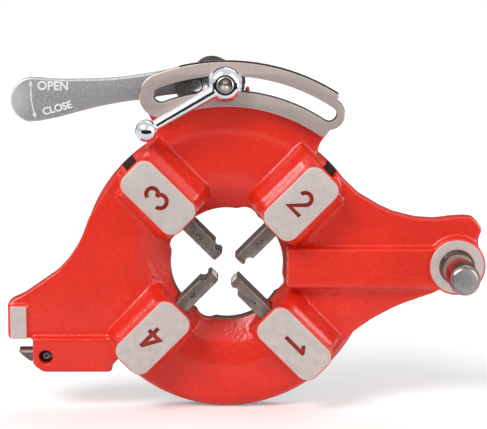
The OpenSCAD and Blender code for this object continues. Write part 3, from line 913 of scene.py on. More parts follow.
@dataclass
class Casting:
    """Enamelled casting with its machined faces and painted numbers."""

    voxel: float = 1.15
    passes: int = 9
    bore: float = 40.0
    pad_middle: float = 70.2
    pad_shift: float = -3.05
    pad_length: float = 54.4
    pad_width: float = 28.4
    pad_corner: float = 8.0
    pad_height: float = 46.0
    cap: float = 1.9
    flank_start: float = 43.5
    flanks: Dict[Tuple[int, int], Point] = field(default_factory=lambda: {
        (1, -1): (4.0, 91.0), (1, 1): (11.0, 93.0), (2, -1): (8.0, 91.0), (2, 1): (14.0, 99.0),
        (3, -1): (14.0, 99.0), (3, 1): (8.0, 91.0), (4, -1): (10.0, 93.0), (4, 1): (4.0, 91.0)})
    digit_radius: float = 71.2
    digit_height: float = 18.0
    digit_stroke: float = 2.9
    tip_middle: Point = (-147.7, -40.2)
    tip_size: Point = (11.4, 23.4)
    tip_height: float = 28.0
    boss_radii: Point = (12.7, 18.9)
    boss_height: float = 31.0

    def build(self) -> None:
        """Makes the skin, the machined faces and the numbers."""
        self.skin()
        for digit, angle in DIE_ANGLES.items():
            self.pad_face(digit, angle)
            self.number(digit, angle)
        self.boss_face()
        self.tip_face()

    def flank(self, angle: float, side: int, spread: float, reach: float) -> bpy.types.Object:
        """Slope that runs from a pad's side down into the dish.

        Args:
            angle: the pad's angle in degrees.
            side: 1 for the pad's anticlockwise side, -1 for the other.
            spread: width of the slope.
            reach: radius at which it ends.

        Returns:
            The slope as a solid.
        """
        half = self.pad_width / 2
        shape = ((-4.0, 0.0, 43.8), (1.0, 0.0, 43.2), (0.5, 0.45, 40.5), (0.0, 0.85, 32.0), (0.0, 1.05, 19.0),
                 (-4.0, 0.0, 19.0))
        crest = [(half + off + share * spread, f) for off, share, f in shape]
        mouth = [(half + off + 0.7 * share * spread, max(f - 8, 14)) for off, share, f in shape]
        foot = [(half + off + share * spread, max(f - 4, 19)) for off, share, f in shape]
        stations = [(self.flank_start, mouth), (self.flank_start + 7, crest), (self.pad_middle + 20, crest),
                    (reach, foot)]
        return wedge("flank", stations, angle, self.pad_shift, side)

    def skin(self) -> None:
        """Rounds the casting all over and levels it under the machined faces."""
        flanks = [self.flank(DIE_ANGLES[digit], side, spread, reach)
                  for (digit, side), (spread, reach) in self.flanks.items()]
        obj = softened("casting_skin", [merged_copy("head_casting", "casting"), *flanks],
                       self.voxel, self.passes)
        post = middle_of("post")
        for vertex in obj.data.vertices:
            x, y, height = vertex.co.x / MM, vertex.co.z / MM, -vertex.co.y / MM
            top = self.pad_height - self.cap
            if math.dist((x, y), post) < self.boss_radii[1] + 2:
                top = self.boss_height - 0.8
            elif x < self.tip_middle[0] + self.tip_size[0] / 2 + 1.5 and y > -54:
                top = self.tip_height - 0.9
            vertex.co.y = -min(height, top) * MM
        dress(obj, ENAMEL, BORE_METAL)
        paint(obj, 1, lambda centre, normal: (
            math.hypot(centre.x, centre.z) / MM < self.bore + 0.9 and abs(normal.y) < 0.75
            and normal.x * centre.x + normal.z * centre.z < 0))
        settle(obj, Body.HEAD.value, ENAMEL, "head_casting")

    def pad_outline(self) -> Loop:
        """Outline of a pad on the radius to the right."""
        x, y, r = self.pad_length / 2, self.pad_width / 2, self.pad_corner
        corners = [((x - r, y - r), 0), ((r - x, y - r), 90), ((r - x, r - y), 180), ((x - r, r - y), 270)]
        loop = [p for middle, start in corners for p in arc(middle, r, start, start + 90, 10)]
        return [(px + self.pad_middle, py + self.pad_shift) for px, py in loop]

    def digit_place(self, angle: float) -> Point:
        """Centre of the number on the pad at an angle."""
        return turned([(self.digit_radius, self.pad_shift + 0.3)], angle)[0]

    def pad_face(self, digit: int, angle: float) -> None:
        """Machined face of a pad with its number cut through."""
        face = plate(f"pad_face_{digit}", [turned(self.pad_outline(), angle)],
                     self.pad_height - self.cap - 0.3, self.pad_height, 0.6)
        place = self.digit_place(angle)
        loops = digit_loops(digit, self.digit_height, self.digit_stroke, angle, place)
        tools = [prism("cutter", loop, self.pad_height - 3, self.pad_height + 1) for loop in loops]
        cut(face, *tools)
        dress(face, GROUND_FACE, PALE_EDGE_AND_HIGHLIGHT, SHADED_NUMBER_PAINT)
        # The rim's side and bevel faces get the pale pink: partly thin paint, partly a painted highlight.
        paint(face, 1, lambda centre, normal: normal.y > -0.93)
        # The walls of the number's cut take the same darker red: painted recess shade.
        paint(face, 2, lambda centre, normal: (
            normal.y > -0.5 and math.dist((centre.x / MM, centre.z / MM), place) < self.digit_height * 0.62))
        settle(face, Body.HEAD.value, GROUND_FACE)

    def number(self, digit: int, angle: float) -> None:
        """Paint that fills the floor of a pad's number, darker than the casting's enamel as painted shade of the
        recess.
        """
        place = self.digit_place(angle)
        loops = digit_loops(digit, self.digit_height + 0.1, self.digit_stroke + 0.1, angle, place)
        floor = self.pad_height - self.cap
        strokes = [plate("stroke", [loop], floor - 0.3, floor + 0.3 + 0.02 * i, 0.05)
                   for i, loop in enumerate(loops)]
        obj = joined(f"pad_number_{digit}", strokes)
        settle(dress(obj, SHADED_NUMBER_PAINT), Body.HEAD.value, SHADED_NUMBER_PAINT)

    def boss_face(self) -> None:
        """Machined ring round the foot of the post."""
        inner, outer = self.boss_radii
        top = self.boss_height
        profile = [(inner, top - 1), (outer, top - 1), (outer, top - 0.4), (outer - 0.4, top), (inner, top)]
        obj = lathe("boss_face", profile, middle_of("post"))
        settle(dress(obj, GROUND_FACE), Body.HEAD.value, GROUND_FACE)

    def tip_face(self) -> None:
        """Machined face at the end of the left arm."""
        (x, y), (wide, high) = self.tip_middle, self.tip_size
        loop = [(x - wide / 2, y - high / 2), (x + wide / 2, y - high / 2),
                (x + wide / 2, y + high / 2), (x - wide / 2, y + high / 2)]
        obj = plate("tip_face", [loop], self.tip_height - 1.5, self.tip_height, 0.6)
        dress(obj, GROUND_FACE, PALE_EDGE_AND_HIGHLIGHT)
        # The rim's side and bevel faces get the pale pink: partly thin paint, partly a painted highlight.
        paint(obj, 1, lambda centre, normal: normal.y > -0.93)
        settle(obj, Body.HEAD.value, GROUND_FACE)


@dataclass
class Die:
    """One thread-cutting die with its lug, its teeth and its stamped number."""

    number: int
    angle: float
    tip: float = 9.4
    length: float = 72.6
    low: float = -7.8
    high: float = 1.7
    lug_radius: float = 4.0
    lug_middle: float = 70.0
    pitch: float = 2.2
    tooth: float = 0.5
    back: float = 10.3
    face: float = 37.3
    lead: float = 28.0

    def build(self) -> None:
        """Makes the die, its teeth and its number."""
        self.blank()
        self.teeth()
        self.stamp()

    def outline(self) -> Loop:
        """Outline on the radius to the right, with the chip scoop on the low side."""
        start = self.tip + self.tooth
        land, end = self.low + 1.8, self.tip + self.length
        scoop = arc((self.tip + 5.8, self.low), 3.1, 150, 10, 12)
        return ([(start + 0.3, self.high), (start, self.high - 0.5), (start, land + 0.7), (start + 0.4, land)]
                + [p for p in scoop if p[1] > self.low + 0.6]
                + [(self.tip + 9.2, self.low), (end, self.low), (end, self.high)])

    def finish(self) -> Finish:
        """Die steel milled across the die."""
        turn = 45 if self.number in (1, 3) else -45
        return Finish(f"die_milled_{self.number}", DIE_STEEL.slot, DIE_STEEL.light, DIE_STEEL.dark,
                      Grain.CROSSWISE, metallic=DIE_STEEL.metallic, roughness=DIE_STEEL.roughness,
                      relief=DIE_STEEL.relief, turn=turn)

    def blank(self) -> None:
        """Die's body, its slanted lead and the lug that the cam turns."""
        name = f"die_body_{self.number}"
        body = plate(name, [turned(self.outline(), self.angle)], self.back, self.face, 0.45)
        slope = math.tan(math.radians(self.lead))
        depth = 8.0
        cut(body, self.lead_cutter(depth, slope))
        middle = turned([(self.lug_middle, (self.low + self.high) / 2)], self.angle)[0]
        foot = heights_of(f"die_{self.number}")[0]
        lug = lathe("lug", [(0, foot), (self.lug_radius - 0.4, foot), (self.lug_radius, foot + 0.4),
                            (self.lug_radius, self.back + 1), (0, self.back + 1)], middle, 48)
        finish = self.finish()
        obj = joined(name, [dress(body, finish, DIE_FLANK, STAMP_AND_EDGE_SHADE, DIE_SIDE), dress(lug, finish)])
        paint(obj, 3, lambda centre, normal: abs(normal.y) < 0.3)
        # The bevel round the die's face gets the black as a painted shade line.
        paint(obj, 2, lambda centre, normal: -0.93 < normal.y < -0.2 and centre.y < (0.6 - self.face) * MM)
        tip = Vector((*polar(1, self.angle), 0))
        paint(obj, 1, lambda centre, normal: (
            centre.x * tip.x + centre.z * tip.y < (self.tip + 8) * MM
            and -(normal.x * tip.x + normal.z * tip.y) > 0.3))
        settle(obj, f"die_{self.number}", DIE_STEEL, f"die_{self.number}")

    def lead_cutter(self, depth: float, slope: float) -> bpy.types.Object:
        """Solid that slants the tip back over a depth, at a slope."""
        top, near = self.face + 1, self.tip - 1
        sides = (self.low - 1, self.high + 1)
        far = self.tip + depth * slope
        stations = [(near, [(sides[0], top), (sides[1], top), (sides[1], top - depth), (sides[0], top - depth)]),
                    (far, [(sides[0], top), (sides[1], top), (sides[1], top - 0.01), (sides[0], top - 0.01)])]
        return wedge("lead", stations, self.angle, 0.0, 1)

    def teeth(self) -> None:
        """Row of thread teeth across the tip, one to each turn of the thread."""
        tree = PatternTree(f"die_teeth_{self.number}_tree")
        pitch, high, width = tree.size("Pitch"), tree.size("Height"), tree.size("Width")
        count = tree.size("Count", whole=True)
        tooth = tree.node("GeometryNodeMeshCone", {"Vertices": 4, "Radius Top": 0.00012,
                                                   "Radius Bottom": pitch, "Depth": high})
        shape = tree.node("ShaderNodeCombineXYZ", {"X": 0.66, "Z": 1.0, "Y": width})
        flat = tree.node("GeometryNodeTransform", {
            "Geometry": tooth.outputs[0], "Rotation": (0, 0, math.pi / 4)})
        long = tree.node("GeometryNodeTransform", {"Geometry": flat.outputs[0], "Scale": shape.outputs[0]})
        step = tree.node("ShaderNodeCombineXYZ", {"Y": tree.node(
            "ShaderNodeMath", {0: pitch, 1: 1.0}, operation="MULTIPLY").outputs[0]})
        row = tree.node("GeometryNodeMeshLine", {"Count": count, "Offset": step.outputs[0]})
        turn = tree.node("GeometryNodeInstanceOnPoints", {
            "Points": row.outputs[0], "Instance": long.outputs[0],
            "Rotation": (0, 0, math.pi / 2)})
        teeth = tree.apply(f"die_teeth_{self.number}", turn.outputs[0], DIE_FLANK,
                           Pitch=self.pitch * MM, Height=(self.tooth + 0.25) * MM,
                           Width=2.05, Count=10)
        place = polar(self.tip + self.tooth + 0.15, self.angle)
        side = turned([(0, (self.low + 1.8 + self.high) / 2)], self.angle)[0]
        out = -Vector((*polar(1, self.angle), 0))
        out = Vector((out.x, 0, out.y))
        back = Vector((0, -1, 0))
        along = back.cross(out)
        basis = Matrix((along, back, out)).transposed().to_4x4()
        basis.translation = front(place[0] + side[0], place[1] + side[1], self.back + 1.6)
        teeth.data.transform(basis)
        settle(teeth, f"die_{self.number}", DIE_FLANK)

    def stamp(self) -> None:
        """Small number struck into the face."""
        middle = turned([(self.tip + 20.5, (self.low + self.high) / 2)], self.angle)[0]
        loops = digit_loops(self.number, 4.9, 0.65, self.angle, middle)
        marks = [plate("mark", [loop], self.face - 0.1, self.face + 0.03 + 0.01 * i, 0.02)
                 for i, loop in enumerate(loops)]
        obj = joined(f"die_mark_{self.number}", marks)
        settle(dress(obj, STAMP_AND_EDGE_SHADE), f"die_{self.number}", STAMP_AND_EDGE_SHADE)


@dataclass
class SizeBar:
    """Slotted bar with its scale and its screws."""

    inner: float = 113.8
    outer: float = 145.3
    slot_middle: float = 130.2
    slot_width: float = 10.1
    left: float = 110.4
    right: float = 56.6
    screw_radius: float = 117.6
    screw_angles: Tuple[float, ...] = (58.0, 76.0, 111.0)

    def build(self) -> None:
        """Makes the bar, its scale and the fasteners."""
        back, face = heights_of("size_bar")
        self.bar(back, face)
        self.scale(back, face)
        screws = screw_circle("bar_screw_set", [polar(self.screw_radius, a) for a in self.screw_angles],
                              3.9, 3.9, 2.5, 5.0, heights_of("bar_screws")[0], BLACK_STEEL)
        settle(screws, Body.HEAD.value, BLACK_STEEL, "bar_screws")

    def bar(self, back: float, face: float) -> None:
        """Blanked bar with its curved slot."""
        middle, half = (self.inner + self.outer) / 2, (self.outer - self.inner) / 2
        left = polar(middle, self.left)
        right = polar(self.slot_middle, self.right)
        outline = (arc((0, 0), self.outer, self.right + 1.2, self.left, 40)
                   + arc(left, half, self.left, self.left + 180, 20)[1:-1]
                   + arc((0, 0), self.inner, self.left, 54.6, 40)
                   + [polar(115.5, 53.4), polar(119, 53.3), polar(120.6, 53.9)]
                   + arc(right, 11.2, -78, 62, 16)
                   + [polar(143.4, 56.9), polar(144.9, 57.2)])
        slot = (arc((0, 0), self.slot_middle + self.slot_width / 2, self.right, self.left, 40)
                + arc(polar(self.slot_middle, self.left), self.slot_width / 2,
                      self.left, self.left + 180, 12)[1:-1]
                + arc((0, 0), self.slot_middle - self.slot_width / 2, self.left, self.right, 40)
                + arc(right, self.slot_width / 2, self.right + 180, self.right + 360, 12)[1:-1])
        obj = plate("size_bar_plate", [outline, slot], back, face, 0.9, 3)
        dress(obj, BAR_STEEL, SLOT_EDGE_SHADE)
        # Upward-facing walls and bevels of the slot are painted dark: painted shade.
        paint(obj, 1, lambda centre, normal: (
            normal.y > -0.95 and normal.z > 0.1
            and self.inner + 2 < math.hypot(centre.x, centre.z) / MM < self.outer - 4))
        settle(obj, Body.HEAD.value, BAR_STEEL, "size_bar")

    def scale(self, back: float, face: float) -> None:
        """Dark scale strip on the bar's rim, and its raised ticks."""
        start, end = 57.6, 103.0
        rim = arc((0, 0), self.outer + 0.55, start, end, 60)
        under = arc((0, 0), self.outer - 0.2, end, start, 60)
        strip = plate("scale_strip", [rim + under], back + 0.5, face - 0.05, 0.12, 1)
        settle(dress(strip, BLACK_STEEL), Body.HEAD.value, BLACK_STEEL)
        tree = PatternTree("scale_ticks_tree")
        radius, first, last = tree.size("Radius"), tree.size("First"), tree.size("Last")
        long, count = tree.size("Length"), tree.size("Count", whole=True)
        share = tree.node("ShaderNodeMath", {0: tree.node("GeometryNodeInputIndex").outputs[0],
                                             1: count}, operation="DIVIDE")
        turn = tree.node("ShaderNodeMapRange", {"Value": share.outputs[0], "To Min": first, "To Max": last})
        x = tree.node("ShaderNodeMath", {0: tree.node("ShaderNodeMath", {0: turn.outputs[0]},
                                                      operation="COSINE").outputs[0], 1: radius},
                      operation="MULTIPLY")
        z = tree.node("ShaderNodeMath", {0: tree.node("ShaderNodeMath", {0: turn.outputs[0]},
                                                      operation="SINE").outputs[0], 1: radius},
                      operation="MULTIPLY")
        place = tree.node("ShaderNodeCombineXYZ", {"X": x.outputs[0], "Z": z.outputs[0],
                                                   "Y": -(back + face) / 2 * MM})
        spots = tree.node("GeometryNodePoints", {"Count": count, "Position": place.outputs[0]})
        tick = tree.node("GeometryNodeMeshCube", {"Size": (0.00045, 0.001, 0.0003)})
        fifth = tree.node("ShaderNodeMath", {0: tree.node("GeometryNodeInputIndex").outputs[0], 1: 5.0},
                          operation="MODULO")
        main = tree.node("ShaderNodeMath", {0: fifth.outputs[0], 1: 0.5}, operation="LESS_THAN")
        reach = tree.node("ShaderNodeMapRange", {"Value": main.outputs[0], "To Min": long,
                                                 "To Max": tree.node("ShaderNodeMath", {0: long, 1: 1.9},
                                                                     operation="MULTIPLY").outputs[0]})
        lean = tree.node("ShaderNodeMath", {0: math.pi / 2, 1: turn.outputs[0]}, operation="SUBTRACT")
        spin = tree.node("ShaderNodeCombineXYZ", {"Y": lean.outputs[0]})
        size = tree.node("ShaderNodeCombineXYZ", {"X": 1.0, "Y": reach.outputs[0], "Z": 1.0})
        placed = tree.node("GeometryNodeInstanceOnPoints", {
            "Points": spots.outputs[0], "Instance": tick.outputs[0], "Rotation": spin.outputs[0],
            "Scale": size.outputs[0]})
        ticks = tree.apply("scale_ticks", placed.outputs[0], LETTER_ZINC, Radius=(self.outer + 0.6) * MM,
                           First=math.radians(start + 2), Last=math.radians(end - 2),
                           Length=3.0, Count=46)
        settle(ticks, Body.HEAD.value, LETTER_ZINC)


@dataclass
class ThrowoutLever:
    """Plated handle that opens and closes the dies, with its raised words and arrow."""

    end: Point = (-136.0, 117.5)
    end_radius: float = 16.0
    hub_radius: float = 13.2
    upper: Tuple[Point, ...] = ((-12.0, 144.0), (-22.0, 143.2), (-40.0, 138.8), (-58.0, 135.6),
                                (-75.0, 133.3), (-92.0, 132.3), (-117.0, 132.0), (-133.5, 133.2))
    lower: Tuple[Point, ...] = ((-132.0, 102.3), (-119.0, 104.9), (-109.0, 107.6), (-92.0, 112.0),
                                (-75.0, 115.4), (-58.2, 117.7), (-43.8, 120.3), (-30.0, 121.6), (-14.0, 122.2))

    def build(self) -> None:
        """Makes the handle, the crank arm, the words and the arrow."""
        back, face = heights_of("throwout_lever")
        self.handle(back, face)
        self.words(face)
        self.arrow(face)

    def handle(self, back: float, face: float) -> None:
        """Handle in one piece with its hub and crank arm."""
        pivot, crank = middle_of("pivot_pin"), middle_of("crank_pin")
        hub = arc(pivot, self.hub_radius, -108, 98, 24)
        outline = (eased(self.upper, 5) + arc(self.end, self.end_radius, 98, 258, 30)
                   + eased(self.lower, 5) + hub)
        body = plate("throwout_handle", [outline, circle(pivot, 6.4)], back, face, 1.75, 6)
        reach = math.dist(pivot, crank)
        along = math.degrees(math.atan2(crank[1] - pivot[1], crank[0] - pivot[0]))
        arm = ([(9.0, -7.3)] + arc((reach, 0), 7.3, -90, 90, 20) + [(9.0, 7.3)])
        crank_arm = plate("crank_arm", [turned(arm, along, pivot)], back + 0.05, face - 0.05, 0.5, 2)
        obj = joined("throwout_handle", [dress(body, ZINC), dress(crank_arm, ZINC)])
        settle(obj, Body.LEVER.value, ZINC, "throwout_lever")

    def words(self, face: float) -> None:
        """Raised words beside the ends of the arrow."""
        for words, height, place, angle in (("OPEN", 6.2, (-121.8, 126.9), -1.0),
                                            ("CLOSE", 5.2, (-119.0, 111.3), 15.0)):
            mesh = lettering(words, words, height, 1.1)
            mesh.transform(standing(place[0], place[1], face, angle))
            obj = new_object(f"lever_word_{words.lower()}", cleaned(mesh))
            smooth_by_angle(obj.data)
            settle(dress(obj, LETTER_ZINC), Body.LEVER.value, LETTER_ZINC)

    def arrow(self, face: float) -> None:
        """Raised arrow with a head at each end."""
        line = eased(((-137.4, 128.4), (-137.1, 117.5), (-135.0, 106.9)), 8)
        shaft = plate("shaft", [stroke(line, 0.8)], face - 0.4, face + 0.45, 0.15, 1)
        heads = []
        for tip, back in ((line[0], line[2]), (line[-1], line[-3])):
            out = math.degrees(math.atan2(tip[1] - back[1], tip[0] - back[0]))
            head = [(2.6, 0), (-1.2, 1.5), (-0.4, 0), (-1.2, -1.5)]
            heads.append(plate("arrow_head", [turned(head, out, tip)], face - 0.4, face + 0.5, 0.12, 1))
        obj = joined("lever_arrow", [shaft, *heads])
        settle(dress(obj, LETTER_ZINC), Body.LEVER.value, LETTER_ZINC)


def eased(points: Sequence[Point], steps: int) -> Loop:
    """Smooth line through points, with the given steps between two of them."""
    line: Loop = []
    for i in range(len(points) - 1):
        a, b, c, d = (Vector(points[min(max(k, 0), len(points) - 1)]) for k in range(i - 1, i + 3))
        for s in range(steps):
            t = s / steps
            spot = 0.5 * (2 * b + (c - a) * t + (2 * a - 5 * b + 4 * c - d) * t ** 2
                          + (3 * b - a - 3 * c + d) * t ** 3)
            line.append((spot.x, spot.y))
    return line + [tuple(points[-1])]


@dataclass
class ClampLever:
    """Chromed lever that locks the size setting, and its stud."""

    length: float = 63.0
    angle: float = 210.3
    ball: float = 7.9
    ball_height: float = 43.0
    hub: float = 12.3
    stud: float = 6.1

    def build(self) -> None:
        """Makes the lever and the stud that it turns on."""
        middle = middle_of("clamp_stud")
        self.lever(middle)
        self.stud_end(middle)

    def lever(self, middle: Point) -> None:
        """Forged hub, tapered arm and ball in one smooth skin."""
        low = heights_of("clamp_lever")[0]
        hub = lathe("hub", [(0, low), (self.hub - 0.8, low), (self.hub, low + 0.8), (self.hub, low + 6.5),
                            (self.hub - 1, low + 9.2), (self.hub - 3, low + 11.4),
                            (self.hub - 5, low + 12.4), (0, low + 12.6)], middle, 64)
        start = front(middle[0], middle[1], 39.6)
        end_flat = (middle[0] + polar(self.length, self.angle)[0], middle[1] + polar(self.length, self.angle)[1])
        end = front(end_flat[0], end_flat[1], self.ball_height)
        arm_mesh = bpy.data.meshes.new("arm")
        bm = bmesh.new()
        run = end - start
        bmesh.ops.create_cone(bm, cap_ends=True, segments=48, radius1=4.9 * MM, radius2=3.5 * MM,
                              depth=run.length)
        bm.transform(Matrix.Translation((start + end) / 2) @ run.to_track_quat("Z", "Y").to_matrix().to_4x4())
        bm.to_mesh(arm_mesh)
        bm.free()
        arm = new_object("arm", arm_mesh)
        ball_mesh = bpy.data.meshes.new("ball")
        bm = bmesh.new()
        bmesh.ops.create_icosphere(bm, subdivisions=5, radius=self.ball * MM)
        bm.transform(Matrix.Translation(end))
        bm.to_mesh(ball_mesh)
        bm.free()
        obj = softened("clamp_handle", [hub, arm, new_object("ball", ball_mesh)], 0.34, 9)
        cut(obj, prism("bore", circle(middle, self.stud + 0.25, 64), 20, 60))
        smooth_by_angle(obj.data, 50)
        settle(dress(obj, CHROME), Body.CLAMP.value, CHROME, "clamp_lever")

    def stud_end(self, middle: Point) -> None:
        """Stud with a dimpled, bevelled end."""
        back, face = heights_of("clamp_stud")
        bar_front = heights_of("size_bar")[1]
        r = self.stud
        profile = [(0, back), (4.9, back), (4.9, bar_front), (r, bar_front), (r, face - 0.9),
                   (r - 0.3, face - 0.35), (r - 0.9, face), (2.6, face - 0.25), (1.4, face - 0.9), (0, face - 1.3)]
        obj = lathe("stud_body", profile, middle)
        settle(dress(obj, STUD_STEEL), Body.HEAD.value, STUD_STEEL, "clamp_stud")


@dataclass
class Post:
    """Turned post that the head hangs from."""

    radius: float = 10.5
    chamfer: float = 2.3
    collar: float = 12.2
    shank: float = 9.5

    def build(self) -> None:
        """Makes the post with its chamfered, sawn end."""
        back, face = heights_of("post")
        top = 31.0
        r = self.radius
        profile = [(0, back), (self.shank, back), (self.shank, top - 0.9), (self.collar, top - 0.9),
                   (self.collar, top - 0.1), (self.collar - 0.3, top + 0.2), (r + 0.35, top + 0.2),
                   (r, top + 0.6), (r, face - self.chamfer - 0.3), (r - 0.15, face - self.chamfer + 0.1),
                   (r - self.chamfer + 0.15, face - 0.15), (r - self.chamfer - 0.15, face), (0, face)]
        obj = lathe("post_body", profile, middle_of("post"), 128)
        dress(obj, POST_STEEL, POST_END)
        paint(obj, 1, lambda centre, normal: normal.y < -0.98 and centre.y < (1 - face) * MM)
        settle(obj, Body.HEAD.value, POST_STEEL, "post")


@dataclass
class Latch:
    """Spring behind the latch plunger."""

    wire: float = 0.7
    coil: float = 3.6
    turns: float = 6.0
    squeezed: float = 0.6

    def build(self) -> None:
        """Winds the spring."""
        low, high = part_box("latch_spring")
        tree = PatternTree("latch_spring_tree")
        radius, long = tree.size("Coil radius"), tree.size("Length")
        thick, turns = tree.size("Wire radius"), tree.size("Turns")
        line = tree.node("GeometryNodeCurveSpiral", {"Resolution": 24, "Rotations": turns,
                                                     "Start Radius": radius, "End Radius": radius,
                                                     "Height": long})
        section = tree.node("GeometryNodeCurvePrimitiveCircle", {"Resolution": 10, "Radius": thick})
        wound = tree.node("GeometryNodeCurveToMesh", {"Curve": line.outputs[0],
                                                      "Profile Curve": section.outputs[0],
                                                      "Fill Caps": True})
        spring = tree.apply("latch_spring_coil", wound.outputs[0], SPRING_STEEL,
                            Coil_radius=self.coil * MM, Wire_radius=self.wire * MM, Turns=self.turns,
                            Length=(high.x - low.x) - 2.4 * self.wire * MM)
        middle = (low + high) / 2
        spring.data.transform(Matrix.Translation(Vector((low.x + 1.2 * self.wire * MM, middle.y, middle.z)))
                              @ Matrix.Rotation(math.pi / 2, 4, "Y"))
        spring.data.shade_smooth()
        settle(spring, Body.HEAD.value, SPRING_STEEL, "latch_spring")
        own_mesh(spring)


@dataclass
class Hardware:
    """CAD pieces whose shape stays, and the screws of the retaining ring."""

    finishes: Dict[str, Finish] = field(default_factory=lambda: {
        "retaining_ring": BLACK_STEEL, "cam_plate": CAM_STEEL, "cam_stop_pins": BRIGHT_STEEL,
        "index_link": LINK_STEEL, "guide_pin": BRIGHT_STEEL, "clamp_washer": BRIGHT_STEEL,
        "lever_bush": BRONZE, "pivot_pin": BRIGHT_STEEL, "crank_pin": BRIGHT_STEEL,
        "post_pin": BLACK_STEEL, "latch_plunger": LINK_STEEL, "latch_pin": LINK_STEEL})
    ring_screw_radius: float = 45.5

    def build(self) -> None:
        """Dresses the kept nodes and adds the ring's screws."""
        for node, finish in self.finishes.items():
            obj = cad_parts[node]
            if not obj.material_slots:
                LOG.warning("%s has no material slot", node)
            for slot in obj.material_slots:
                slot.material = finish.material()
            LOG.info("%s is finished as %s", node, finish.name)
        screws = screw_circle("ring_screw_set", [polar(self.ring_screw_radius, a) for a in range(0, 360, 90)],
                              3.1, 1.5, 1.5, 1.5, 0.1, BRIGHT_STEEL)
        settle(screws, Body.HEAD.value, BRIGHT_STEEL, "ring_screws")


# ---------------------------------------------------------------- studio


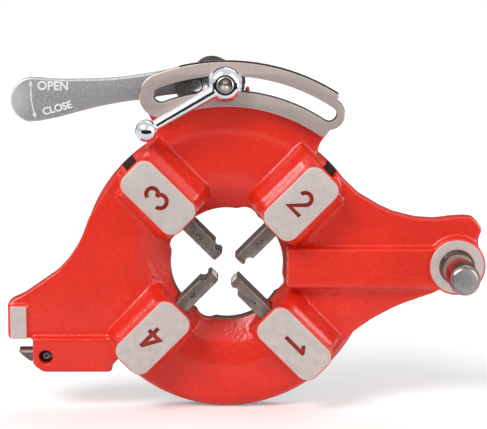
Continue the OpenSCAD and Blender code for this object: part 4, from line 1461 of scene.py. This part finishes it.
@dataclass
class Studio:
    """Pale floor, soft lights, a white surround and the camera."""

    floor_height: float = -0.1031
    camera_place: Tuple[float, float, float] = (0.0119, -1.428, 0.2518)
    camera_tilt: float = 81.3
    camera_lens: float = 148.9

    def build(self) -> None:
        """Makes everything round the object."""
        self.surround()
        self.floor()
        self.sun("key", (-0.55, -0.7, 0.85), 1.75, 26)
        self.sun("fill", (0.8, -0.8, 0.35), 0.5, 60)
        self.sun("rear", (0.3, 0.6, 0.85), 0.85, 40)
        self.card("front_card", (0.0, -0.42, 0.0), (1.1, 0.34), 0.02)
        self.card("back_card", (0.0, 0.62, 0.15), (1.3, 1.1), 0.10)
        self.card("left_window", (-0.55, -0.5, 0.62), (0.5, 0.34), 8.0)
        self.card("right_window", (0.75, -0.45, 0.20), (0.3, 0.5), 9.0)
        self.camera()

    def surround(self) -> None:
        """World that is white to look at and dimmer as a light."""
        world = bpy.data.worlds.new("studio_world")
        world.use_nodes = True
        bpy.context.scene.world = world
        tree = world.node_tree
        tree.nodes.clear()
        path = tree.nodes.new("ShaderNodeLightPath")
        seen = tree.nodes.new("ShaderNodeMath")
        seen.operation = "MAXIMUM"
        tree.links.new(path.outputs["Is Camera Ray"], seen.inputs[0])
        tree.links.new(path.outputs["Is Transmission Ray"], seen.inputs[1])
        coord = tree.nodes.new("ShaderNodeTexCoord")
        split = tree.nodes.new("ShaderNodeSeparateXYZ")
        tree.links.new(coord.outputs["Generated"], split.inputs[0])
        ramp = tree.nodes.new("ShaderNodeValToRGB")
        ramp.color_ramp.elements[0].position = 0.25
        ramp.color_ramp.elements[0].color = (0.5, 0.5, 0.51, 1)
        ramp.color_ramp.elements[1].position = 0.7
        ramp.color_ramp.elements[1].color = (1, 1, 1, 1)
        height = tree.nodes.new("ShaderNodeMapRange")
        height.inputs["From Min"].default_value = -1
        tree.links.new(split.outputs["Z"], height.inputs["Value"])
        tree.links.new(height.outputs["Result"], ramp.inputs["Fac"])
        glossy, plain, white = (tree.nodes.new("ShaderNodeBackground") for _ in range(3))
        tree.links.new(ramp.outputs["Color"], glossy.inputs["Color"])
        glossy.inputs["Strength"].default_value = 0.8
        plain.inputs["Color"].default_value = (1, 1, 1, 1)
        plain.inputs["Strength"].default_value = 0.42
        white.inputs["Color"].default_value = (1, 1, 1, 1)
        first, second = (tree.nodes.new("ShaderNodeMixShader") for _ in range(2))
        tree.links.new(path.outputs["Is Glossy Ray"], first.inputs[0])
        tree.links.new(plain.outputs[0], first.inputs[1])
        tree.links.new(glossy.outputs[0], first.inputs[2])
        tree.links.new(seen.outputs[0], second.inputs[0])
        tree.links.new(first.outputs[0], second.inputs[1])
        tree.links.new(white.outputs[0], second.inputs[2])
        out = tree.nodes.new("ShaderNodeOutputWorld")
        tree.links.new(second.outputs[0], out.inputs["Surface"])

    def floor(self) -> None:
        """White floor that keeps the object's shadow."""
        graph = ShaderGraph("floor_white")
        matt = graph.add("ShaderNodeBsdfDiffuse")
        matt.inputs["Color"].default_value = (0.86, 0.86, 0.86, 1)
        glow = graph.add("ShaderNodeEmission")
        glow.inputs["Color"].default_value = (1, 1, 1, 1)
        path = graph.add("ShaderNodeLightPath")
        lift = graph.add("ShaderNodeMath", operation="MULTIPLY")
        lift.inputs[1].default_value = 0.22
        graph.join(path.outputs["Is Camera Ray"], lift.inputs[0])
        graph.join(lift.outputs[0], glow.inputs["Strength"])
        both = graph.add("ShaderNodeAddShader")
        graph.join(matt.outputs[0], both.inputs[0])
        graph.join(glow.outputs[0], both.inputs[1])
        graph.join(both.outputs[0], graph.output.inputs["Surface"])
        bm = bmesh.new()
        bmesh.ops.create_grid(bm, x_segments=1, y_segments=1, size=6)
        bmesh.ops.translate(bm, verts=bm.verts, vec=(0, 0, self.floor_height))
        mesh = bpy.data.meshes.new("floor")
        bm.to_mesh(mesh)
        bm.free()
        obj = new_object("floor", mesh)
        obj.data.materials.append(graph.material)

    def sun(self, name: str, place: Tuple[float, float, float], strength: float, spread: float) -> None:
        """Even light from far off in the direction of a place, soft by its spread in degrees."""
        light = bpy.data.lights.new(name, "SUN")
        light.energy = strength
        light.angle = math.radians(spread)
        obj = bpy.data.objects.new(name, light)
        obj.rotation_euler = (-Vector(place)).to_track_quat("-Z", "Y").to_euler()
        bpy.context.scene.collection.objects.link(obj)

    def card(self, name: str, middle: Tuple[float, float, float], size: Point, shade: float) -> None:
        """Dark or bright card that only glossy surfaces reflect.

        Args:
            name: the card's name.
            middle: its middle in metres.
            size: its width and height in metres.
            shade: how bright it is, 1 for white.
        """
        graph = ShaderGraph(name)
        glow = graph.add("ShaderNodeEmission")
        glow.inputs["Strength"].default_value = shade
        graph.join(glow.outputs[0], graph.output.inputs["Surface"])
        wide, high = size[0] / 2, size[1] / 2
        mesh = bpy.data.meshes.new(name)
        turn = (-Vector(middle)).to_track_quat("-Z", "Y")
        corners = [Vector(middle) + turn @ Vector((x * wide, y * high, 0))
                   for x, y in ((-1, -1), (1, -1), (1, 1), (-1, 1))]
        mesh.from_pydata(corners, [], [(0, 1, 2, 3)])
        obj = new_object(name, mesh)
        obj.data.materials.append(graph.material)
        for ray in ("camera", "diffuse", "shadow", "transmission"):
            setattr(obj, f"visible_{ray}", False)

    def camera(self) -> None:
        """Camera at the catalogue view of the head."""
        data = bpy.data.cameras.new("camera")
        data.lens = self.camera_lens
        obj = bpy.data.objects.new("camera", data)
        obj.location = self.camera_place
        obj.rotation_euler = (math.radians(self.camera_tilt), 0, 0)
        bpy.context.scene.collection.objects.link(obj)
        bpy.context.scene.camera = obj


def main() -> None:
    """Builds the studio, then the head round its frame."""
    logging.basicConfig(level=logging.INFO, format="%(name)s: %(message)s")
    bpy.context.scene.view_settings.view_transform = "Standard"
    Studio().build()
    Casting().build()
    for number, angle in DIE_ANGLES.items():
        Die(number, angle).build()
    SizeBar().build()
    ThrowoutLever().build()
    ClampLever().build()
    Post().build()
    Latch().build()
    Hardware().build()
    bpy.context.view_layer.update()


if __name__ == "__main__":
    main()
